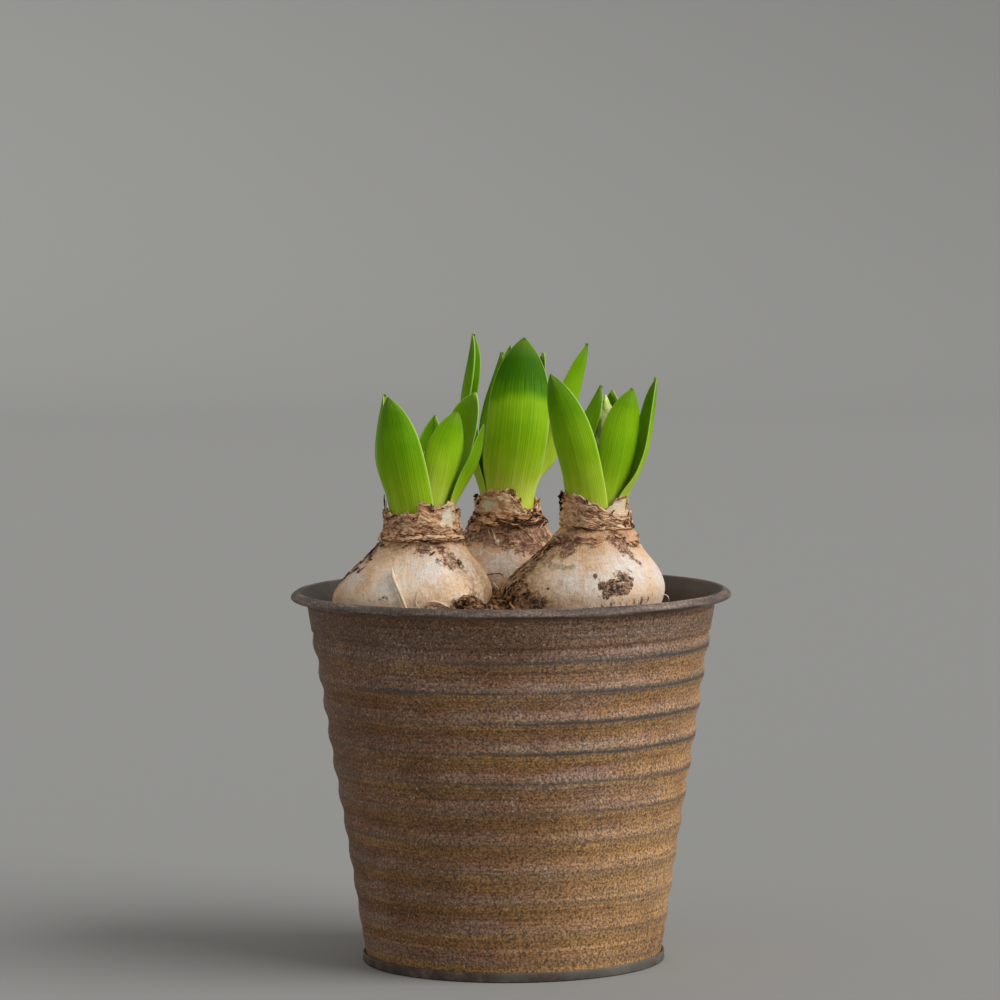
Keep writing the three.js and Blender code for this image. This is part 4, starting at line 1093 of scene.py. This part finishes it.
def spine_points(points, steps):
    """Evenly spaced points and directions on the curve that the part's leaves follow."""
    ends = [points[0] * 2 - points[1], *points, points[-1] * 2 - points[-2]]
    fine = []
    for i in range(1, len(ends) - 2):
        p0, p1, p2, p3 = ends[i - 1:i + 3]
        d0, d1, d2 = [(b - a).length ** 0.5 for a, b in ((p0, p1), (p1, p2), (p2, p3))]
        start = ((p1 - p0) / d0 - (p2 - p0) / (d0 + d1) + (p2 - p1) / d1) * d1
        end = ((p2 - p1) / d1 - (p3 - p1) / (d1 + d2) + (p3 - p2) / d2) * d1
        for step in range(60):
            t = step / 60
            fine.append(p1 + start * t + (3 * (p2 - p1) - 2 * start - end) * t ** 2
                        + (2 * (p1 - p2) + start + end) * t ** 3)
    fine.append(points[-1])
    travelled = [0.0]
    for a, b in zip(fine, fine[1:]):
        travelled.append(travelled[-1] + (b - a).length)
    made = []
    span = 0
    for step in range(steps + 1):
        goal = travelled[-1] * step / steps
        while span < len(fine) - 2 and travelled[span + 1] < goal:
            span += 1
        share = (goal - travelled[span]) / (travelled[span + 1] - travelled[span])
        made.append((fine[span].lerp(fine[span + 1], share), (fine[span + 1] - fine[span]).normalized()))
    return made, travelled[-1]


def blade_width(along, widest):
    """The width of a blade as a share of its greatest, at a share of its length."""
    if along < widest:
        return blend(FOOT_WIDTH, 1, smooth(along / widest))
    past = (along - widest) / (1 - widest)
    return max(0.03, (1 - past ** 2.5) ** 0.8)


def blade(form, bulb, paler):
    """A closed blade bent along its spine, with a UV map across and along it, and its side and paleness."""
    ring, stands_at, mid, tip, facing, width, widest, trough = form
    reach = bulb["neck_radius"] - RINGS[ring]
    start = bulb["at"][2] + NECK_RISE + 1 + GAP
    at = math.radians(stands_at)
    foot = Vector((reach * math.cos(at), reach * math.sin(at), start))
    throat = Vector((foot.x * 1.03, foot.y * 1.03, start + THROAT_RISE))
    spine, length = spine_points([foot, throat, Vector(mid), Vector(tip)], BLADE_ALONG)
    facing += 360 * round((stands_at - facing) / 360)
    bm = bmesh.new()
    bmesh.ops.create_grid(bm, x_segments=BLADE_ACROSS, y_segments=BLADE_ALONG, size=1)
    uv = bm.loops.layers.uv.new("blade")
    for face in bm.faces:
        for loop in face.loops:
            loop[uv].uv = ((loop.vert.co.x + 1) / 2, (loop.vert.co.y + 1) / 2)
    raised = bmesh.ops.extrude_face_region(bm, geom=bm.faces[:], use_keep_orig=True)["geom"]
    bmesh.ops.translate(bm, vec=(0, 0, 1), verts=[g for g in raised if isinstance(g, bmesh.types.BMVert)])
    inner = bm.verts.layers.float.new("inner")
    pale = bm.verts.layers.float.new("pale")
    seed = Vector((stands_at * 0.37, width, 0))
    for vert in bm.verts:
        across, along, layer = vert.co.x, (vert.co.y + 1) / 2, vert.co.z
        vert[inner] = 1 - layer
        vert[pale] = between(paler, along + 0.035 * noise.noise(Vector((across * 2.2, 0, 4)) + seed))
        on_spine, up = spine[round(along * BLADE_ALONG)]
        # Below its throat the blade follows the neck's curve, and above it its own.
        free = smooth((along * length - THROAT_RISE) / 14)
        turn = math.radians(blend(stands_at, facing, free))
        back = Vector((math.cos(turn), math.sin(turn), 0))
        back = (back - up * back.dot(up)).normalized()
        side = back.cross(up)
        wide = width * blade_width(along, widest)
        half = blend(wide / 2 / reach, math.radians(trough), free)
        angle = across * half
        bow = wide / 2 / half
        plump = 1 - across * across
        full = MARGIN_THICKNESS + (LEAF_THICKNESS - MARGIN_THICKNESS) * plump * (1 - 0.55 * along)
        # Margins round off, and the surface waves a little between the veins.
        full *= blend(1, 0.45, abs(across) ** 6)
        wave = free * 0.25 * noise.noise(Vector((across * 1.5, along * 4, 0)) + seed)
        depth = bow + wave - (full if layer < 0.5 else 0)
        vert.co = (on_spine + side * (depth * math.sin(angle)) + back * (depth * math.cos(angle) - bow)
                   + Vector((*bulb["neck"], 0)))
    bmesh.ops.recalc_face_normals(bm, faces=bm.faces)
    return bm


def leaf_material():
    """Fleshy hyacinth leaf: waxy satin green with fine parallel veins, pale at its foot and margins, partly as
    painted highlight.
    """
    made, add, place = new_material("waxy_hyacinth_leaf", {
        "Roughness": 0.4, "IOR": 1.45, "Specular IOR Level": 0.06, "Subsurface Weight": 0.2,
        "Subsurface Radius": (0.5, 1.0, 0.1), "Subsurface Scale": 2 * MM})
    blade_uv = add("UVMap", uv_map="blade")
    across, along = (add("SeparateXYZ", blade_uv, out=axis) for axis in "XY")
    # The green deepens up the blade, unevenly, and each leaf has its own tone, with painted light and shade in
    # it.
    pale = add("Attribute", attribute_name="pale", out="Fac")
    tone = add("TexNoise", place, 70, 3)
    deep = add("Math", pale, -0.42, along, operation="MULTIPLY_ADD")
    deep = add("Math", deep, add("MapRange", tone, 0.3, 0.7, -0.1, 0.1), operation="ADD")
    # Long streaks follow the veins, and fade in and out along the blade.
    streak_place = add("Mapping", blade_uv, None, None, (26, 1.3, 1))
    streaks = add("TexNoise", streak_place, 1, 5, 0.65)
    deep = add("Math", deep, add("MapRange", streaks, 0.3, 0.7, 0.16, -0.16), operation="ADD")
    green = add("ValToRGB", deep, stops=[(0.0, "#c8da52"), (1.0, "#3f7404"), (0.12, "#b4d436"),
                                         (0.28, "#a0ca22"), (0.45, "#8abb14"), (0.66, "#72a80c"),
                                         (0.86, "#5a9008")])
    # Veins run the length of the blade, about 0.6 mm apart, paler than the tissue between them.
    wander = add("TexNoise", streak_place, 0.5, 1)
    vein = add("Math", wander, 0.06, across, operation="MULTIPLY_ADD")
    vein = add("Math", vein, 28, operation="MULTIPLY")
    vein = add("Math", vein, 0.5, operation="PINGPONG")
    vein_tone = add("ValToRGB", vein, stops=[(0.02, 0.64), (0.42, 0.46), (0.18, 0.5)])
    green = add("Mix", add("MapRange", pale, -0.15, 0.5, 0.12, 0.5), green, vein_tone, **OVERLAY)
    # The inside of the trough is darkened, as painted shade.
    inner_painted_shade = add("Math", add("Attribute", attribute_name="inner", out="Fac"), 0.4, operation="MULTIPLY")
    green = add("Mix", inner_painted_shade, green, colour("#57920e"), **OVER)
    # The margins are pale, partly as a painted highlight along the edges, and a waxy bloom greys the hooded
    # tip, partly as a painted sheen.
    off_centre = add("Math", across, 0.5, operation="SUBTRACT")
    off_centre = add("Math", off_centre, operation="ABSOLUTE")
    green = washed(add, green, colour("#c3dd72"), 0.75, off_centre, 0.468, 0.49)
    green = washed(add, green, colour("#b2cc5c"), 0.3, along, 0.88, 1.0)
    return surfaced(made, green, vein, 0.1)


leaf_finish = leaf_material()
for which, bulb in BULBS.items():
    for side, form in LEAVES[which].items():
        body = blade(form, bulb, PALER_AND_PAINTED_LIGHT[which].get(side, EVEN_GREEN))
        add_piece(f"blade_{which}_{side}", body, leaf_finish, "leaf", f"leaf_{which}_{side}")


# Flower buds
# Closed florets are packed in a spiral on a thick stalk, deep among the leaves. Only the right-hand bulb's
# bud shows between its leaves; each floret is a slim yellow-green spindle with seams between its lobes.

STALK_RADIUS = 3.2
BUD_FOOT = 8
GOLDEN_TURN = 137.508
FLORET_RADIUS = 1.55
FLORET_HALF_LENGTH = 4.5
# Each bud: the height of its tip, how many florets it has, its radius, and how far its tip leans off the neck.
BUDS = {
    "left": dict(top=176, florets=30, radius=4.2, lean=(1, 0)),
    "middle": dict(top=190, florets=36, radius=4.2, lean=(1, 0)),
    "right": dict(top=195, florets=46, radius=5.2, lean=(4, 0)),
}


def bud(form, bulb):
    foot = bulb["at"][2] + NECK_RISE + 1 + GAP
    length = form["top"] - foot

    def lean(height):
        share = max(0, (height - foot) / length) ** 1.5
        return bulb["neck"][0] + form["lean"][0] * share, bulb["neck"][1] + form["lean"][1] * share

    def girth(share):
        return form["radius"] * math.sin(math.pi * (0.16 + 0.8 * share)) ** 0.7

    outline = [(0, 0), (STALK_RADIUS, 0), (STALK_RADIUS, BUD_FOOT)]
    outline += [(girth(s) - 0.6, BUD_FOOT + s * (length - BUD_FOOT)) for s in (0.12, 0.35, 0.6, 0.82)]
    outline.append((0, length - 1.8))
    bm = turned(outline, 24)
    for vert in bm.verts:
        x, y = lean(foot + vert.co.z)
        vert.co += Vector((x, y, foot))
    for i in range(form["florets"]):
        share = (i + 0.5) / form["florets"]
        turn = math.radians(i * GOLDEN_TURN)
        height = foot + BUD_FOOT + share * (length - BUD_FOOT - 4.4)
        x, y = lean(height)
        reach = girth(share) * 0.82
        size = blend(1.1, 0.8, share)
        made = bmesh.ops.create_uvsphere(bm, u_segments=18, v_segments=12, radius=1)["verts"]
        tilt = Matrix.Rotation(-0.16 - 0.06 * share, 4, Vector((-math.sin(turn), math.cos(turn), 0)))
        for vert in made:
            lobes = 1 + 0.12 * math.cos(3 * math.atan2(vert.co.y, vert.co.x))
            tip = 1 - 0.45 * max(0, vert.co.z)
            vert.co = tilt @ Vector((vert.co.x * FLORET_RADIUS * size * lobes * tip,
                                     vert.co.y * FLORET_RADIUS * size * lobes * tip,
                                     vert.co.z * FLORET_HALF_LENGTH * size))
        seat = (x + reach * math.cos(turn), y + reach * math.sin(turn), height)
        bmesh.ops.translate(bm, verts=made, vec=seat)
    return bm


def bud_material():
    """Unopened florets: satin yellow-green with fine pale streaks, paler still as painted light in the leaves'
    shade.
    """
    made, add, place = new_material("closed_hyacinth_florets", {
        "Roughness": 0.45, "IOR": 1.45, "Specular IOR Level": 0.25, "Subsurface Weight": 0.25,
        "Subsurface Radius": (0.6, 1.0, 0.2), "Subsurface Scale": 1.5 * MM})
    upright = add("Mapping", place, None, None, (1, 1, 0.25))
    streaks = add("TexNoise", upright, 700, 4)
    # The ramp is paler than the florets' own green, as painted light where they sit in shade among the leaves.
    shade = add("ValToRGB", streaks, stops=[(0.3, "#c2e058"), (0.72, "#fbfccc"), (0.5, "#e8f98c")])
    return surfaced(made, shade, streaks, 0.15)


bud_finish = bud_material()
for which, bulb in BULBS.items():
    add_piece("florets_" + which, bud(BUDS[which], bulb), bud_finish, "bud", "bud_" + which)


# Studio
# A plain pale floor that sweeps up into a low wall all round, a broad soft window light from the right and a
# little in front, and an even pale surround.

FLOOR_REACH = 3200
SWEEP_RADIUS = 800
SWEEP_STEPS = 12
FLOOR_CLEAR = 0.05


def studio_floor():
    outline = [(0, -FLOOR_CLEAR), (400, -FLOOR_CLEAR), (FLOOR_REACH, -FLOOR_CLEAR)]
    for step in range(1, SWEEP_STEPS + 1):
        turn = math.pi / 2 * step / SWEEP_STEPS
        outline.append((FLOOR_REACH + SWEEP_RADIUS * math.sin(turn), SWEEP_RADIUS * (1 - math.cos(turn))))
    finish = new_material("pale_paper_floor", {
        "Roughness": 0.9, "IOR": 1.5, "Specular IOR Level": 0.1, "Base Color": colour("#9f9f9d")})[0]
    new_object("floor", turned(outline, 96), finish)


studio_floor()
window = bpy.data.lights.new("window_light", "SUN")
window.energy = 2.5
window.angle = 0.9
window_holder = bpy.data.objects.new("window_light", window)
window_holder.rotation_euler = Vector((0.78, -0.32, 0.54)).to_track_quat("Z", "Y").to_euler()
bpy.context.scene.collection.objects.link(window_holder)

world = bpy.data.worlds.new("pale_surround")
world.use_nodes = True
surround = world.node_tree.nodes["Background"].inputs
surround["Color"].default_value = colour("#faf8f5")
surround["Strength"].default_value = 0.42
bpy.context.scene.world = world
bpy.context.scene.view_settings.view_transform = "Standard"

# The camera stands 1.73 m in front, a little above, and looks slightly down.
CAMERA_PLACE = Vector((-0.0035, -1.73, 0.2885))
LOOKS_DOWN = math.radians(4.34)
LEANS = math.radians(-0.44)
FOCAL_PIXELS = 5100
PICTURE_PIXELS = 1000

camera_data = bpy.data.cameras.new("camera")
camera_data.sensor_width = 36
camera_data.lens = 36 * FOCAL_PIXELS / PICTURE_PIXELS
camera = bpy.data.objects.new("camera", camera_data)
camera.matrix_world = (Matrix.Translation(CAMERA_PLACE) @ Matrix.Rotation(math.pi / 2 - LOOKS_DOWN, 4, "X")
                       @ Matrix.Rotation(LEANS, 4, "Z"))
bpy.context.scene.collection.objects.link(camera)
bpy.context.scene.camera = camera

bpy.context.view_layer.update()
